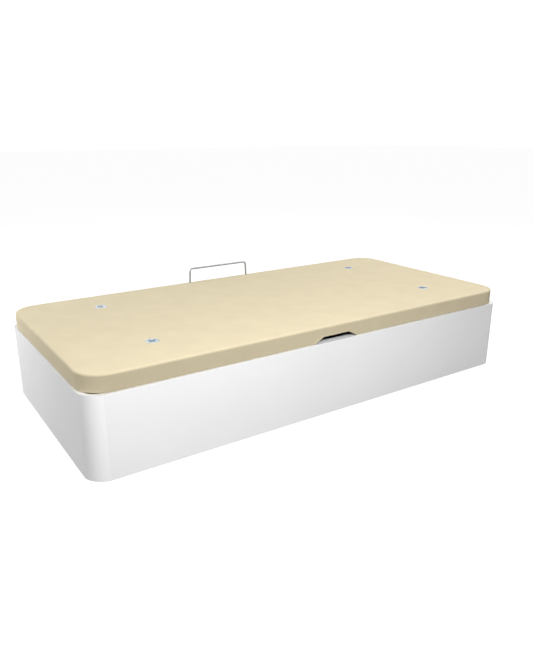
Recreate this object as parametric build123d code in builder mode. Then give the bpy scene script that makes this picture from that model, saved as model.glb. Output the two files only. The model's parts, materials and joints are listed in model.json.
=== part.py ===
"""Lift-up storage bed base: a board box, a padded lid and the lever mechanism between them.

Millimetres. The origin is the middle of the box's footprint on the floor. +X runs along the bed,
-Y is the long side that opens, +Z is up. Places in a cross-section are written (y, z).
"""
import os
from math import atan2, cos, degrees, hypot, radians, sin

from build123d import *

os.makedirs("parts", exist_ok=True)

# Box
box_length = 1900.0
box_width = 900.0
box_height = 286.0
board_thickness = 19.0
post_leg = 62.0
post_bulge = 14.0
post_thickness = 16.0
edge_round = 1.0
seam_round = 0.6
top_rail_depth = 16.0
top_rail_height = 40.0
top_rail_end_gap = 8.0

# Floor of the box
floor_thickness = 10.0
floor_gap = 0.5
floor_board_count = 3
cleat_depth = 20.0
cleat_height = 20.0
joist_width = 60.0
joist_height = 28.0

# Corner brackets
strap_thickness = 2.5
strap_height = 40.0
strap_leg = 38.0
strap_bend_inset = 6.0
strap_low_height = 60.0
strap_rail_gap = 6.0

# Bumpers between rim and lid
bumper_radius = 5.0
bumper_height = 1.5
rail_bumper_pitch = 520.0
rail_bumper_count = 4
end_bumper_pitch = 400.0
end_bumper_inset = 14.0

# Lid
lid_inset_x = 4.0
lid_inset_y = 6.0
lid_corner_radius = 102.0
cover_thickness = 4.0
cover_gap = 0.2
cover_edge_radius = 8.0
hem_thickness = 1.5
hem_width = 22.0
foam_thickness = 12.5
foam_edge_radius = 6.0
lid_board_thickness = 12.0
edge_strip_thickness = 18.0
tube_size = 30.0
tube_wall = 1.5
tube_bend_radius = 60.0
front_tube_setback = 38.0
back_tube_setback = 19.0
side_tube_setback = 34.0
cross_tube_count = 4
cross_tube_pitch = 372.0

# Finger notch
notch_bottom_width = 195.0
notch_top_width = 120.0
notch_height = 20.5
liner_thickness = 1.5
liner_end_gap = 0.5

# Vents in the lid
vent_spacing_x = 1312.0
vent_spacing_y = 506.0
vent_offset_x = 18.0
vent_offset_y = 14.0
vent_rim_radius = 23.0
vent_rim_recess = 0.3
vent_rim_round = 1.2
vent_mouth_radius = 14.0
vent_sleeve_wall = 1.5
vent_clearance = 0.3
vent_grille_depth = 1.2
vent_grille_thickness = 1.2
vent_slot_width = 2.4
vent_slot_pitch = 4.6
vent_slot_count = 5

# Mattress stop
bar_radius = 4.0
bar_span = 306.0
bar_rise = 64.0
bar_lean = 3.5
bar_bend_radius = 13.0
bar_depth = 45.0
socket_wall = 2.0
socket_clearance = 0.1
bar_hole_clearance = 0.3

# Lever mechanism: pivots at rest, as their distance in from the back and down from the rim
short_base_in = 154.0
short_base_down = 24.0
short_tip_in = 64.0
short_tip_down = 19.0
long_base_in = 556.0
long_base_down = 24.0
long_tip_in = 144.0
long_tip_down = 30.0
strut_base_in = 416.0
strut_base_down = 216.0
strut_stud_distance = 350.0

# Lever mechanism: what each piece turns or travels when the lid is fully open
short_arm_turn = 45.0
lid_turn = 43.0
long_arm_turn = 16.84
strut_turn = 14.08
strut_travel = 67.9

# Lever mechanism: sections
plate_thickness = 3.0
plate_corner_radius = 6.0
hinge_plate_margin = 30.0
hinge_plate_height = 42.0
hinge_screw_count = 5
arm_thickness = 5.0
arm_width = 24.0
arm_edge_round = 1.0
pin_radius = 5.0
pin_clearance = 0.05
side_clearance = 0.2
collar_radius = 9.0
collar_height = 1.0
head_thickness = 2.0
head_gap = 0.5
head_overlap = 2.0
washer_thickness = 1.5
loose_clearance = 0.4
eye_wall = 6.0
bracket_thickness = 3.0
bracket_foot_width = 34.0
bracket_foot_length = 142.0
bracket_back_inset = 8.0
bracket_bolt_count = 3
bracket_bolt_inset = 16.0

# Gas struts
stud_radius = 4.0
stud_head_radius = 8.0
strut_eye_thickness = 12.0
strut_eye_gap = 2.0
strut_eye_radius = 10.0
cylinder_radius = 11.0
cylinder_wall = 2.0
cylinder_start = 18.0
cylinder_cap = 7.0
rod_radius = 5.0
rod_exposed = 46.0
piston_length = 12.0
piston_stop = 12.0
anchor_width = 70.0
anchor_height = 58.0
anchor_screw_inset = 10.0

# Fasteners
screw_radius = 2.0
screw_head_radius = 4.2
screw_head_height = 1.2
screw_depth = 13.0
rail_screw_depth = 28.0
rail_screw_count = 5
bolt_radius = 4.0
bolt_head_radius = 6.5
bolt_head_height = 4.5
bolt_length = 12.0

# Slip fit of screws and sockets, and how far a cut runs past its piece
slip_clearance = 0.1
cut_margin = 1.0

# Planes and limits shared by the pieces
half_length = box_length / 2
half_width = box_width / 2
end_inner_x = half_length - board_thickness
side_inner_y = half_width - board_thickness
post_centre_x = half_length - post_leg
post_centre_y = half_width - post_leg
rail_inner_y = side_inner_y - top_rail_depth
floor_bottom = joist_height
floor_top = floor_bottom + floor_thickness

lid_bottom = box_height + bumper_height
frame_bottom = lid_bottom + hem_thickness
frame_top = frame_bottom + tube_size
lid_board_top = frame_top + lid_board_thickness
foam_top = lid_board_top + foam_thickness
lid_top = foam_top + cover_thickness
lid_half_x = half_length - lid_inset_x
lid_half_y = half_width - lid_inset_y
core_half_x = lid_half_x - cover_thickness - cover_gap
core_half_y = lid_half_y - cover_thickness - cover_gap
core_radius = lid_corner_radius - cover_thickness - cover_gap
tube_outer_x = core_half_x - side_tube_setback
tube_front_y = -core_half_y + front_tube_setback
tube_back_y = core_half_y - back_tube_setback

# Pivots of the mechanism at rest, as (y, z)
short_arm_base = (half_width - short_base_in, box_height - short_base_down)
short_arm_tip = (half_width - short_tip_in, box_height - short_tip_down)
long_arm_base = (half_width - long_base_in, box_height - long_base_down)
long_arm_tip = (half_width - long_tip_in, box_height - long_tip_down)
strut_base = (half_width - strut_base_in, box_height - strut_base_down)

# Layers of the mechanism, counted inward from the end panel's inner face
short_arm_near = plate_thickness + collar_height + side_clearance
short_arm_far = short_arm_near + arm_thickness
short_head_far = short_arm_far + side_clearance + head_thickness
long_head_near = short_head_far + head_gap
long_arm_near = long_head_near + head_thickness + side_clearance
long_arm_far = long_arm_near + arm_thickness
bracket_near = long_arm_far + side_clearance + washer_thickness
bracket_far = bracket_near + bracket_thickness
eye_near = long_arm_far + strut_eye_gap
eye_far = eye_near + strut_eye_thickness
strut_middle = (eye_near + eye_far) / 2

SIDES = {"left": -1, "right": 1}
CORNERS = [(-1, -1), (1, -1), (-1, 1), (1, 1)]


def save(piece, name):
    """Label a finished piece and write it to its own file."""
    piece.part.label = name
    export_step(piece.part, f"parts/{name}.step")


def block(x_range, y_range, z_range, mode=Mode.ADD):
    """Add a box between these limits to the part being built."""
    with BuildSketch(Plane.XY.offset(z_range[0])) as outline:
        with Locations(((x_range[0] + x_range[1]) / 2, (y_range[0] + y_range[1]) / 2)):
            Rectangle(x_range[1] - x_range[0], y_range[1] - y_range[0])
    extrude(outline.sketch, amount=z_range[1] - z_range[0], mode=mode)


def disc(plane, centre, radius, length, mode=Mode.ADD):
    """Add a round bar that stands on a plane to the part being built."""
    with BuildSketch(plane) as outline:
        with Locations(centre):
            Circle(radius)
    extrude(outline.sketch, amount=length, mode=mode)


def quarter_ring(corner, centre, outer, inner, z_range, mode=Mode.ADD):
    """Add the quarter of a ring that faces one corner of the bed to the part being built."""
    with BuildSketch(Plane.XY.offset(z_range[0])) as outline:
        with Locations((corner[0] * centre[0], corner[1] * centre[1])):
            Circle(outer)
            Circle(inner, mode=Mode.SUBTRACT)
        with Locations((corner[0] * (centre[0] + outer / 2), corner[1] * (centre[1] + outer / 2))):
            Rectangle(outer, outer, mode=Mode.INTERSECT)
    extrude(outline.sketch, amount=z_range[1] - z_range[0], mode=mode)


def post_middle(depth):
    """How far out in x and in y the middle of a post lies, this deep under its round face."""
    out = (post_bulge - depth) * cos(radians(45))
    return half_length - post_leg / 2 + out, half_width - post_leg / 2 + out


def rounded_slab(half_x, half_y, radius, z_range, mode=Mode.ADD):
    """Add a slab with round corners, centred on the bed, to the part being built."""
    with BuildSketch(Plane.XY.offset(z_range[0])) as outline:
        RectangleRounded(2 * half_x, 2 * half_y, radius)
    extrude(outline.sketch, amount=z_range[1] - z_range[0], mode=mode)


def layer(side, near, far):
    """Plane on the low-x face of a layer that lies near..far inside an end panel."""
    return Plane.YZ.offset(end_inner_x - far if side > 0 else near - end_inner_x)


def layer_disc(side, near, far, centre, radius, mode=Mode.ADD):
    """Add a round bar across a layer of the mechanism to the part being built."""
    disc(layer(side, near, far), centre, radius, far - near, mode)


def layer_link(side, near, far, start, end, width, mode=Mode.ADD):
    """Add a flat bar with round ends between two pivots to the part being built."""
    length = hypot(end[0] - start[0], end[1] - start[1])
    angle = degrees(atan2(end[1] - start[1], end[0] - start[0]))
    with BuildSketch(layer(side, near, far)) as outline:
        with Locations(((start[0] + end[0]) / 2, (start[1] + end[1]) / 2)):
            SlotCenterToCenter(length, width, rotation=angle)
    extrude(outline.sketch, amount=far - near, mode=mode)


def layer_block(side, near, far, y_range, z_range, mode=Mode.ADD):
    """Add a box in a layer of the mechanism to the part being built."""
    x_limits = sorted((side * (end_inner_x - near), side * (end_inner_x - far)))
    block(x_limits, y_range, z_range, mode)


def evenly(count, pitch):
    """Places of a centred row."""
    return [(index - (count - 1) / 2) * pitch for index in range(count)]


# How far the loose pins wander

def turned(point, centre, angle):
    """Turn a (y, z) point about a centre, from +Y towards +Z."""
    y = point[0] - centre[0]
    z = point[1] - centre[1]
    cosine = cos(radians(angle))
    sine = sin(radians(angle))
    return (centre[0] + y * cosine - z * sine, centre[1] + y * sine + z * cosine)


def enclosing(points):
    """Middle of the points' box, and the distance from it to the farthest point."""
    ys = [point[0] for point in points]
    zs = [point[1] for point in points]
    middle = ((min(ys) + max(ys)) / 2, (min(zs) + max(zs)) / 2)
    return middle, max(hypot(y - middle[0], z - middle[1]) for y, z in points)


def long_arm_pin_path(steps=24):
    """Where the lid's pin stands in the long arm's end while the lid opens."""
    places = []
    for step in range(steps + 1):
        share = step / steps
        carrier = turned(short_arm_tip, short_arm_base, short_arm_turn * share)
        moved = (long_arm_tip[0] + carrier[0] - short_arm_tip[0],
                 long_arm_tip[1] + carrier[1] - short_arm_tip[1])
        pin = turned(moved, carrier, -lid_turn * share)
        places.append(turned(pin, long_arm_base, -long_arm_turn * share))
    return enclosing(places)


def along(start, end, distance):
    """The place that lies this far from start towards end."""
    length = hypot(end[0] - start[0], end[1] - start[1])
    return (start[0] + (end[0] - start[0]) * distance / length,
            start[1] + (end[1] - start[1]) * distance / length)


strut_tip = along(long_arm_base, long_arm_tip, strut_stud_distance)
strut_length = hypot(strut_tip[0] - strut_base[0], strut_tip[1] - strut_base[1])


def strut_pin_path(steps=24):
    """Where the long arm's stud stands in the rod's eye while the lid opens."""
    places = []
    for step in range(steps + 1):
        share = step / steps
        stud = turned(strut_tip, long_arm_base, long_arm_turn * share)
        back = turned(stud, strut_base, -strut_turn * share)
        slid = along(strut_base, strut_tip, -strut_travel * share)
        places.append((back[0] + slid[0] - strut_base[0], back[1] + slid[1] - strut_base[1]))
    return enclosing(places)


long_eye_centre, long_eye_drift = long_arm_pin_path()
rod_eye_centre, rod_eye_drift = strut_pin_path()
long_eye_hole = pin_radius + long_eye_drift + loose_clearance
long_pin_head = long_eye_hole + eye_wall / 2
rod_eye_hole = stud_radius + rod_eye_drift + loose_clearance
print(f"long arm eye: hole radius {long_eye_hole:.2f}, drift {long_eye_drift:.2f}")
print(f"gas rod eye: hole radius {rod_eye_hole:.2f}, drift {rod_eye_drift:.2f}")


# Places that screws and holes share

hinge_plate_z = (short_arm_base[1] - hinge_plate_height / 2, short_arm_base[1] + hinge_plate_height / 2)
hinge_plate_y = (long_arm_base[0] - hinge_plate_margin, short_arm_base[0] + hinge_plate_margin)
hinge_screw_pitch = (short_arm_base[0] - long_arm_base[0]) / (hinge_screw_count + 1)
hinge_screw_middle = (short_arm_base[0] + long_arm_base[0]) / 2
hinge_screws = [(hinge_screw_middle + y, short_arm_base[1])
                for y in evenly(hinge_screw_count, hinge_screw_pitch)]
anchor_screws = [(strut_base[0] + sy * (anchor_width / 2 - anchor_screw_inset),
                  strut_base[1] + sz * (anchor_height / 2 - anchor_screw_inset))
                 for sy, sz in CORNERS]
strap_screw_y = post_centre_y - strap_bend_inset - strap_leg / 2
strap_screw_x = post_centre_x - strap_bend_inset - strap_leg / 2
strap_high_height = box_height - top_rail_height - strap_rail_gap - strap_height
strap_levels = [strap_low_height, strap_high_height]
strap_screw_levels = [level + strap_height / 2 for level in strap_levels]
strap_screw_on_end = [(sy * strap_screw_y, z) for sy in (-1, 1) for z in strap_screw_levels]
strap_screw_on_side = [(sx * strap_screw_x, z) for sx in (-1, 1) for z in strap_screw_levels]
rail_screw_pitch = 2 * (post_centre_x - top_rail_end_gap) / rail_screw_count
rail_screws = [(x, box_height - top_rail_height / 2) for x in evenly(rail_screw_count, rail_screw_pitch)]
vent_places = [(vent_offset_x + sx * vent_spacing_x / 2, vent_offset_y + sy * vent_spacing_y / 2)
               for sx, sy in CORNERS]
bar_y = core_half_y - edge_strip_thickness / 2
bar_places = [(-bar_span / 2, bar_y), (bar_span / 2, bar_y)]
cross_tube_places = evenly(cross_tube_count, cross_tube_pitch)
bracket_back_y = short_arm_tip[0] - bracket_back_inset
bracket_front_y = bracket_back_y - bracket_foot_length
bend_reach = tube_bend_radius + tube_size / 2
side_tube_y = (tube_front_y + bend_reach, tube_back_y - bend_reach)
bracket_bolt_x = tube_outer_x - tube_size / 2
bolt_row_length = side_tube_y[1] - bracket_front_y - 2 * bracket_bolt_inset
bracket_bolts_y = [bracket_front_y + bracket_bolt_inset + bolt_row_length * index / (bracket_bolt_count - 1)
                   for index in range(bracket_bolt_count)]


def side_plane(side, distance):
    """Plane parallel to the long sides, this far out from the middle, that looks inward."""
    return Plane((0, side * distance, 0), x_dir=(1, 0, 0), z_dir=(0, -side, 0))


def side_place(side, x, z):
    """A place on a long side, in the coordinates of its inward-looking plane."""
    return (x, z if side > 0 else -z)


def long_panel(side, name):
    """One long board of the box, with holes for the rail and bracket screws."""
    outer_y, inner_y = side * half_width, side * side_inner_y
    with BuildPart() as panel:
        block((-post_centre_x, post_centre_x), sorted((outer_y, inner_y)), (0, box_height))
        outer_face = panel.faces().sort_by(Axis.Y)[-1 if side > 0 else 0]
        fillet(outer_face.edges().filter_by(Axis.Z), seam_round)
        fillet(panel.edges().filter_by(Axis.X).group_by(Axis.Z)[-1], edge_round)
        for places, reach in ((rail_screws, rail_screw_depth - top_rail_depth),
                              (strap_screw_on_side, screw_depth - strap_thickness)):
            for x, z in places:
                disc(side_plane(side, side_inner_y), side_place(side, x, z),
                     screw_radius + slip_clearance, -(reach + slip_clearance), Mode.SUBTRACT)
    save(panel, name)


def end_panel(side, name):
    """One short board of the box, with holes for the mechanism's and the brackets' screws."""
    inner_x, outer_x = side * end_inner_x, side * half_length
    with BuildPart() as panel:
        block(sorted((inner_x, outer_x)), (-post_centre_y, post_centre_y), (0, box_height))
        outer_face = panel.faces().sort_by(Axis.X)[-1 if side > 0 else 0]
        fillet(outer_face.edges().filter_by(Axis.Z), seam_round)
        fillet(panel.edges().filter_by(Axis.Y).group_by(Axis.Z)[-1], edge_round)
        for places, seat in ((hinge_screws + anchor_screws, plate_thickness),
                             (strap_screw_on_end, strap_thickness)):
            for place in places:
                layer_disc(side, seat - screw_depth - slip_clearance, 0, place,
                           screw_radius + slip_clearance, Mode.SUBTRACT)
    save(panel, name)


def corner_post(corner, name):
    """A bowed post that joins two boards; its round face meets them at a slight angle."""
    sx, sy = corner
    outer_start = (sx * post_centre_x, sy * half_width)
    outer_end = (sx * half_length, sy * post_centre_y)
    inner_start = (sx * post_centre_x, sy * side_inner_y)
    inner_end = (sx * end_inner_x, sy * post_centre_y)
    outer_x, outer_y = post_middle(0)
    inner_x, inner_y = post_middle(post_thickness)
    with BuildPart() as post:
        with BuildSketch():
            with BuildLine():
                ThreePointArc(outer_start, (sx * outer_x, sy * outer_y), outer_end)
                Line(outer_end, inner_end)
                ThreePointArc(inner_end, (sx * inner_x, sy * inner_y), inner_start)
                Line(inner_start, outer_start)
            make_face()
        extrude(amount=box_height)
        round_face = post.faces().filter_by(GeomType.CYLINDER).sort_by(SortBy.AREA)[-1]
        inner_rim = post.edges().filter_by(GeomType.CIRCLE).group_by(Axis.Z)[-1].sort_by(SortBy.LENGTH)[0]
        fillet(round_face.edges().filter_by(Axis.Z), seam_round)
        fillet(inner_rim, edge_round)
    save(post, name)


def top_rail(side, name):
    """A rail inside a long board, flush with its top, that widens the rim."""
    rail_half = post_centre_x - top_rail_end_gap
    with BuildPart() as rail:
        block((-rail_half, rail_half), sorted((side * side_inner_y, side * rail_inner_y)),
              (box_height - top_rail_height, box_height))
        fillet(rail.edges().filter_by(Axis.X).group_by(Axis.Z)[-1].sort_by(Axis.Y)[0 if side > 0 else -1],
               edge_round)
        for x, z in rail_screws:
            disc(side_plane(side, side_inner_y), side_place(side, x, z),
                 screw_radius + slip_clearance, top_rail_depth, Mode.SUBTRACT)
    save(rail, name)


long_panel(-1, "front_panel")
long_panel(1, "back_panel")
end_panel(-1, "left_end_panel")
end_panel(1, "right_end_panel")
corner_post((-1, -1), "corner_post_front_left")
corner_post((1, -1), "corner_post_front_right")
corner_post((-1, 1), "corner_post_back_left")
corner_post((1, 1), "corner_post_back_right")
top_rail(-1, "front_top_rail")
top_rail(1, "back_top_rail")


# Floor

def floor_board(index, name):
    """One board of the floor; the outer ones are round at the posts."""
    reach_x = end_inner_x - floor_gap
    reach_y = side_inner_y - floor_gap
    corner_radius = (end_inner_x - post_middle(post_thickness)[0]) / (1 - cos(radians(45)))
    width = 2 * reach_x / floor_board_count
    low_x = -reach_x + index * width
    with BuildPart() as board:
        rounded_slab(reach_x, reach_y, corner_radius, (floor_bottom, floor_top))
        block((low_x + floor_gap / 2, low_x + width - floor_gap / 2), (-reach_y, reach_y),
              (floor_bottom, floor_top), Mode.INTERSECT)
    save(board, name)


def floor_cleats():
    """Battens along the foot of the four boards, under the floor's edges."""
    cleat_z = (floor_bottom - cleat_height, floor_bottom)
    with BuildPart() as cleats:
        for side in (-1, 1):
            block((-post_centre_x, post_centre_x),
                  sorted((side * side_inner_y, side * (side_inner_y - cleat_depth))), cleat_z)
            block(sorted((side * end_inner_x, side * (end_inner_x - cleat_depth))),
                  (-post_centre_y, post_centre_y), cleat_z)
    save(cleats, "floor_cleats")


def floor_joists():
    """Joists on the ground under the joins of the floor boards."""
    reach_y = side_inner_y - cleat_depth
    seam_pitch = 2 * (end_inner_x - floor_gap) / floor_board_count
    with BuildPart() as joists:
        for x in evenly(floor_board_count - 1, seam_pitch):
            block((x - joist_width / 2, x + joist_width / 2), (-reach_y, reach_y), (0, joist_height))
    save(joists, "floor_joists")


floor_board(0, "floor_board_left")
floor_board(1, "floor_board_middle")
floor_board(2, "floor_board_right")
floor_cleats()
floor_joists()


# Corner brackets and bumpers

def add_strap(corner, level):
    """Add a flat strip, bent twice from long board to end board, to the part being built."""
    sx, sy = corner
    bend_x = post_centre_x - strap_bend_inset
    bend_y = post_centre_y - strap_bend_inset
    half = strap_thickness / 2
    path = [(sx * (bend_x - strap_leg), sy * (side_inner_y - half)),
            (sx * bend_x, sy * (side_inner_y - half)),
            (sx * (end_inner_x - half), sy * bend_y),
            (sx * (end_inner_x - half), sy * (bend_y - strap_leg))]
    with BuildSketch(Plane.XY.offset(level)) as outline:
        with BuildLine():
            FilletPolyline(*path, radius=strap_thickness)
            offset(amount=half, side=Side.BOTH)
        make_face()
    extrude(outline.sketch, amount=strap_height)


with BuildPart() as corner_brackets:
    for corner in CORNERS:
        for level in strap_levels:
            add_strap(corner, level)
    for side in (-1, 1):
        for place in strap_screw_on_end:
            layer_disc(side, 0, strap_thickness, place, screw_radius + slip_clearance, Mode.SUBTRACT)
        for x, z in strap_screw_on_side:
            disc(side_plane(side, side_inner_y), side_place(side, x, z),
                 screw_radius + slip_clearance, strap_thickness, Mode.SUBTRACT)
save(corner_brackets, "corner_brackets")

with BuildPart() as rim_bumpers:
    for side in (-1, 1):
        for x in evenly(rail_bumper_count, rail_bumper_pitch):
            disc(Plane.XY.offset(box_height), (x, side * (rail_inner_y + side_inner_y) / 2),
                 bumper_radius, bumper_height)
        for y in evenly(2, end_bumper_pitch):
            disc(Plane.XY.offset(box_height), (side * (half_length - end_bumper_inset), y),
                 bumper_radius, bumper_height)
save(rim_bumpers, "rim_bumpers")


# Screws

def end_screws(places, head_seat, name):
    """Pan-head screws through plates on the end boards."""
    with BuildPart() as screws:
        for side in (-1, 1):
            for place in places:
                layer_disc(side, head_seat - screw_depth, head_seat, place, screw_radius)
                layer_disc(side, head_seat, head_seat + screw_head_height, place, screw_head_radius)
    save(screws, name)


def add_side_screws(side, places, head_seat, depth):
    """Add pan-head screws into a long board to the part being built."""
    seat = side_inner_y - head_seat
    for x, z in places:
        place = side_place(side, x, z)
        disc(side_plane(side, seat), place, screw_radius, -depth)
        disc(side_plane(side, seat), place, screw_head_radius, screw_head_height)


end_screws(hinge_screws, plate_thickness, "hinge_plate_screws")
end_screws(anchor_screws, plate_thickness, "strut_anchor_screws")

with BuildPart() as rail_screw_set:
    for side in (-1, 1):
        add_side_screws(side, rail_screws, top_rail_depth, rail_screw_depth)
save(rail_screw_set, "top_rail_screws")

with BuildPart() as strap_screw_set:
    for side in (-1, 1):
        add_side_screws(side, strap_screw_on_side, strap_thickness, screw_depth)
        for place in strap_screw_on_end:
            layer_disc(side, strap_thickness - screw_depth, strap_thickness, place, screw_radius)
            layer_disc(side, strap_thickness, strap_thickness + screw_head_height, place, screw_head_radius)
save(strap_screw_set, "corner_bracket_screws")


# Lever mechanism

def hinge_plate(side, name):
    """Long plate on the end board that carries both arms."""
    with BuildPart() as plate:
        layer_block(side, 0, plate_thickness, hinge_plate_y, hinge_plate_z)
        fillet(plate.edges().filter_by(Axis.X), plate_corner_radius)
        for place in hinge_screws:
            layer_disc(side, 0, plate_thickness, place, screw_radius + slip_clearance, Mode.SUBTRACT)
    save(plate, name)


def strut_anchor(side, name):
    """Plate with a long stud for the foot of a gas strut."""
    anchor_y = (strut_base[0] - anchor_width / 2, strut_base[0] + anchor_width / 2)
    anchor_z = (strut_base[1] - anchor_height / 2, strut_base[1] + anchor_height / 2)
    with BuildPart() as anchor:
        layer_block(side, 0, plate_thickness, anchor_y, anchor_z)
        fillet(anchor.edges().filter_by(Axis.X), plate_corner_radius)
        for place in anchor_screws:
            layer_disc(side, 0, plate_thickness, place, screw_radius + slip_clearance, Mode.SUBTRACT)
        layer_disc(side, plate_thickness, eye_near - side_clearance, strut_base, stud_head_radius)
        layer_disc(side, plate_thickness, eye_far + side_clearance, strut_base, stud_radius)
        layer_disc(side, eye_far + side_clearance, eye_far + side_clearance + head_thickness,
                   strut_base, stud_head_radius)
    save(anchor, name)


def add_base_pin(side, arm_near, arm_far, place):
    """Add a collar, shaft and head that carry an arm on the hinge plate to the part being built."""
    layer_disc(side, plate_thickness, arm_near - side_clearance, place, collar_radius)
    layer_disc(side, plate_thickness, arm_far + side_clearance, place, pin_radius)
    head_near = arm_far + side_clearance
    layer_disc(side, head_near, head_near + head_thickness, place, collar_radius)


def short_arm(side, name):
    """The rear arm, from the hinge plate to the lid's bracket."""
    with BuildPart() as arm:
        layer_link(side, short_arm_near, short_arm_far, short_arm_base, short_arm_tip, arm_width)
        for place in (short_arm_base, short_arm_tip):
            layer_disc(side, short_arm_near, short_arm_far, place, pin_radius + pin_clearance, Mode.SUBTRACT)
        fillet(arm.edges().filter_by(Plane.YZ).filter_by(GeomType.LINE), arm_edge_round)
    save(arm, name)


def long_arm(side, name):
    """The front arm, with a loose eye for the lid's pin and a stud for the gas rod."""
    with BuildPart() as arm:
        layer_link(side, long_arm_near, long_arm_far, long_arm_base, long_eye_centre, arm_width)
        layer_disc(side, long_arm_near, long_arm_far, long_eye_centre, long_eye_hole + eye_wall)
        layer_disc(side, long_arm_near, long_arm_far, long_arm_base,
                   pin_radius + pin_clearance, Mode.SUBTRACT)
        layer_disc(side, long_arm_near, long_arm_far, long_eye_centre, long_eye_hole, Mode.SUBTRACT)
        layer_disc(side, long_arm_far, eye_near - side_clearance, strut_tip, stud_head_radius)
        layer_disc(side, long_arm_far, eye_far + side_clearance, strut_tip, stud_radius)
        layer_disc(side, eye_far + side_clearance, eye_far + side_clearance + head_thickness,
                   strut_tip, rod_eye_hole + head_overlap)
    save(arm, name)


def strut_plane(side, distance):
    """Plane across a gas strut, this far from its foot."""
    rise = (strut_tip[0] - strut_base[0]) / strut_length, (strut_tip[1] - strut_base[1]) / strut_length
    x = side * (end_inner_x - strut_middle)
    origin = (x, strut_base[0] + rise[0] * distance, strut_base[1] + rise[1] * distance)
    return Plane(origin, x_dir=(1, 0, 0), z_dir=(0, rise[0], rise[1]))


def gas_cylinder(side, name):
    """Tube of a gas strut with its foot eye; the rod slides in its mouth."""
    end = strut_length - rod_exposed
    with BuildPart() as cylinder:
        layer_disc(side, eye_near, eye_far, strut_base, strut_eye_radius)
        disc(strut_plane(side, 0), (0, 0), rod_radius, cylinder_start + cylinder_cap)
        disc(strut_plane(side, cylinder_start), (0, 0), cylinder_radius, end - cylinder_start)
        disc(strut_plane(side, cylinder_start + cylinder_cap), (0, 0), cylinder_radius - cylinder_wall,
             end - cylinder_start - 2 * cylinder_cap, Mode.SUBTRACT)
        disc(strut_plane(side, end - cylinder_cap - cut_margin), (0, 0), rod_radius + pin_clearance,
             cylinder_cap + 2 * cut_margin, Mode.SUBTRACT)
        layer_disc(side, eye_near, eye_far, strut_base, stud_radius + pin_clearance, Mode.SUBTRACT)
    save(cylinder, name)


def gas_rod(side, name):
    """Rod of a gas strut with its piston and the loose eye at its end."""
    piston = strut_length - rod_exposed - cylinder_cap - piston_stop - strut_travel - piston_length
    eye_radius = rod_eye_hole + eye_wall
    with BuildPart() as rod:
        disc(strut_plane(side, piston), (0, 0), rod_radius, strut_length - piston)
        disc(strut_plane(side, piston), (0, 0),
             cylinder_radius - cylinder_wall - pin_clearance, piston_length)
        layer_disc(side, eye_near, eye_far, rod_eye_centre, eye_radius)
        layer_disc(side, eye_near, eye_far, rod_eye_centre, rod_eye_hole, Mode.SUBTRACT)
    save(rod, name)


def lid_bracket(side, name):
    """Angle under the lid's side tube: a foot to bolt on and a cheek that carries both pins."""
    cheek_y = (long_arm_tip[0] - arm_width / 2, bracket_back_y)
    foot_y = (bracket_front_y, bracket_back_y)
    foot_z = (frame_bottom - bracket_thickness, frame_bottom)
    with BuildPart() as bracket:
        layer_link(side, bracket_near, bracket_far, long_arm_tip, short_arm_tip, arm_width)
        layer_block(side, bracket_near, bracket_far, cheek_y, (short_arm_tip[1], frame_bottom))
        layer_block(side, bracket_near, bracket_near + bracket_foot_width, foot_y, foot_z)
        for y in bracket_bolts_y:
            disc(Plane.XY.offset(foot_z[0]), (side * bracket_bolt_x, y),
                 bolt_radius + slip_clearance, bracket_thickness, Mode.SUBTRACT)
    save(bracket, name)


for side_name, side_sign in SIDES.items():
    hinge_plate(side_sign, f"hinge_plate_{side_name}")
    strut_anchor(side_sign, f"strut_anchor_{side_name}")
    short_arm(side_sign, f"short_arm_{side_name}")
    long_arm(side_sign, f"long_arm_{side_name}")
    gas_cylinder(side_sign, f"gas_cylinder_{side_name}")
    gas_rod(side_sign, f"gas_rod_{side_name}")
    lid_bracket(side_sign, f"lid_bracket_{side_name}")

with BuildPart() as short_arm_pins:
    for side in (-1, 1):
        add_base_pin(side, short_arm_near, short_arm_far, short_arm_base)
save(short_arm_pins, "short_arm_pins")

with BuildPart() as long_arm_pins:
    for side in (-1, 1):
        add_base_pin(side, long_arm_near, long_arm_far, long_arm_base)
save(long_arm_pins, "long_arm_pins")

with BuildPart() as bracket_pins:
    for side in (-1, 1):
        tip_head_far = short_arm_near - side_clearance
        layer_disc(side, short_arm_far + side_clearance, bracket_near, short_arm_tip, collar_radius)
        layer_disc(side, tip_head_far, bracket_near, short_arm_tip, pin_radius)
        layer_disc(side, tip_head_far - head_thickness, tip_head_far, short_arm_tip, collar_radius)
        layer_disc(side, long_arm_far + side_clearance, bracket_near, long_arm_tip, long_pin_head)
        layer_disc(side, long_head_near, bracket_near, long_arm_tip, pin_radius)
        layer_disc(side, long_head_near, long_head_near + head_thickness, long_arm_tip, long_pin_head)
save(bracket_pins, "bracket_pins")

with BuildPart() as bracket_bolts:
    bolt_head_top = frame_bottom - bracket_thickness
    for side in (-1, 1):
        for y in bracket_bolts_y:
            with BuildSketch(Plane.XY.offset(bolt_head_top - bolt_head_height)) as hexagon:
                with Locations((side * bracket_bolt_x, y)):
                    RegularPolygon(bolt_head_radius, 6)
            extrude(hexagon.sketch, amount=bolt_head_height)
            disc(Plane.XY.offset(bolt_head_top), (side * bracket_bolt_x, y), bolt_radius, bolt_length)
save(bracket_bolts, "bracket_bolts")


# Lid frame

def tube_along_x(x_range, y_range, name):
    """Square tube of the lid frame along the bed."""
    tube_z = (frame_bottom, frame_top)
    with BuildPart() as tube:
        block(x_range, y_range, tube_z)
        block(x_range, (y_range[0] + tube_wall, y_range[1] - tube_wall),
              (tube_z[0] + tube_wall, tube_z[1] - tube_wall), Mode.SUBTRACT)
    save(tube, name)


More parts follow.
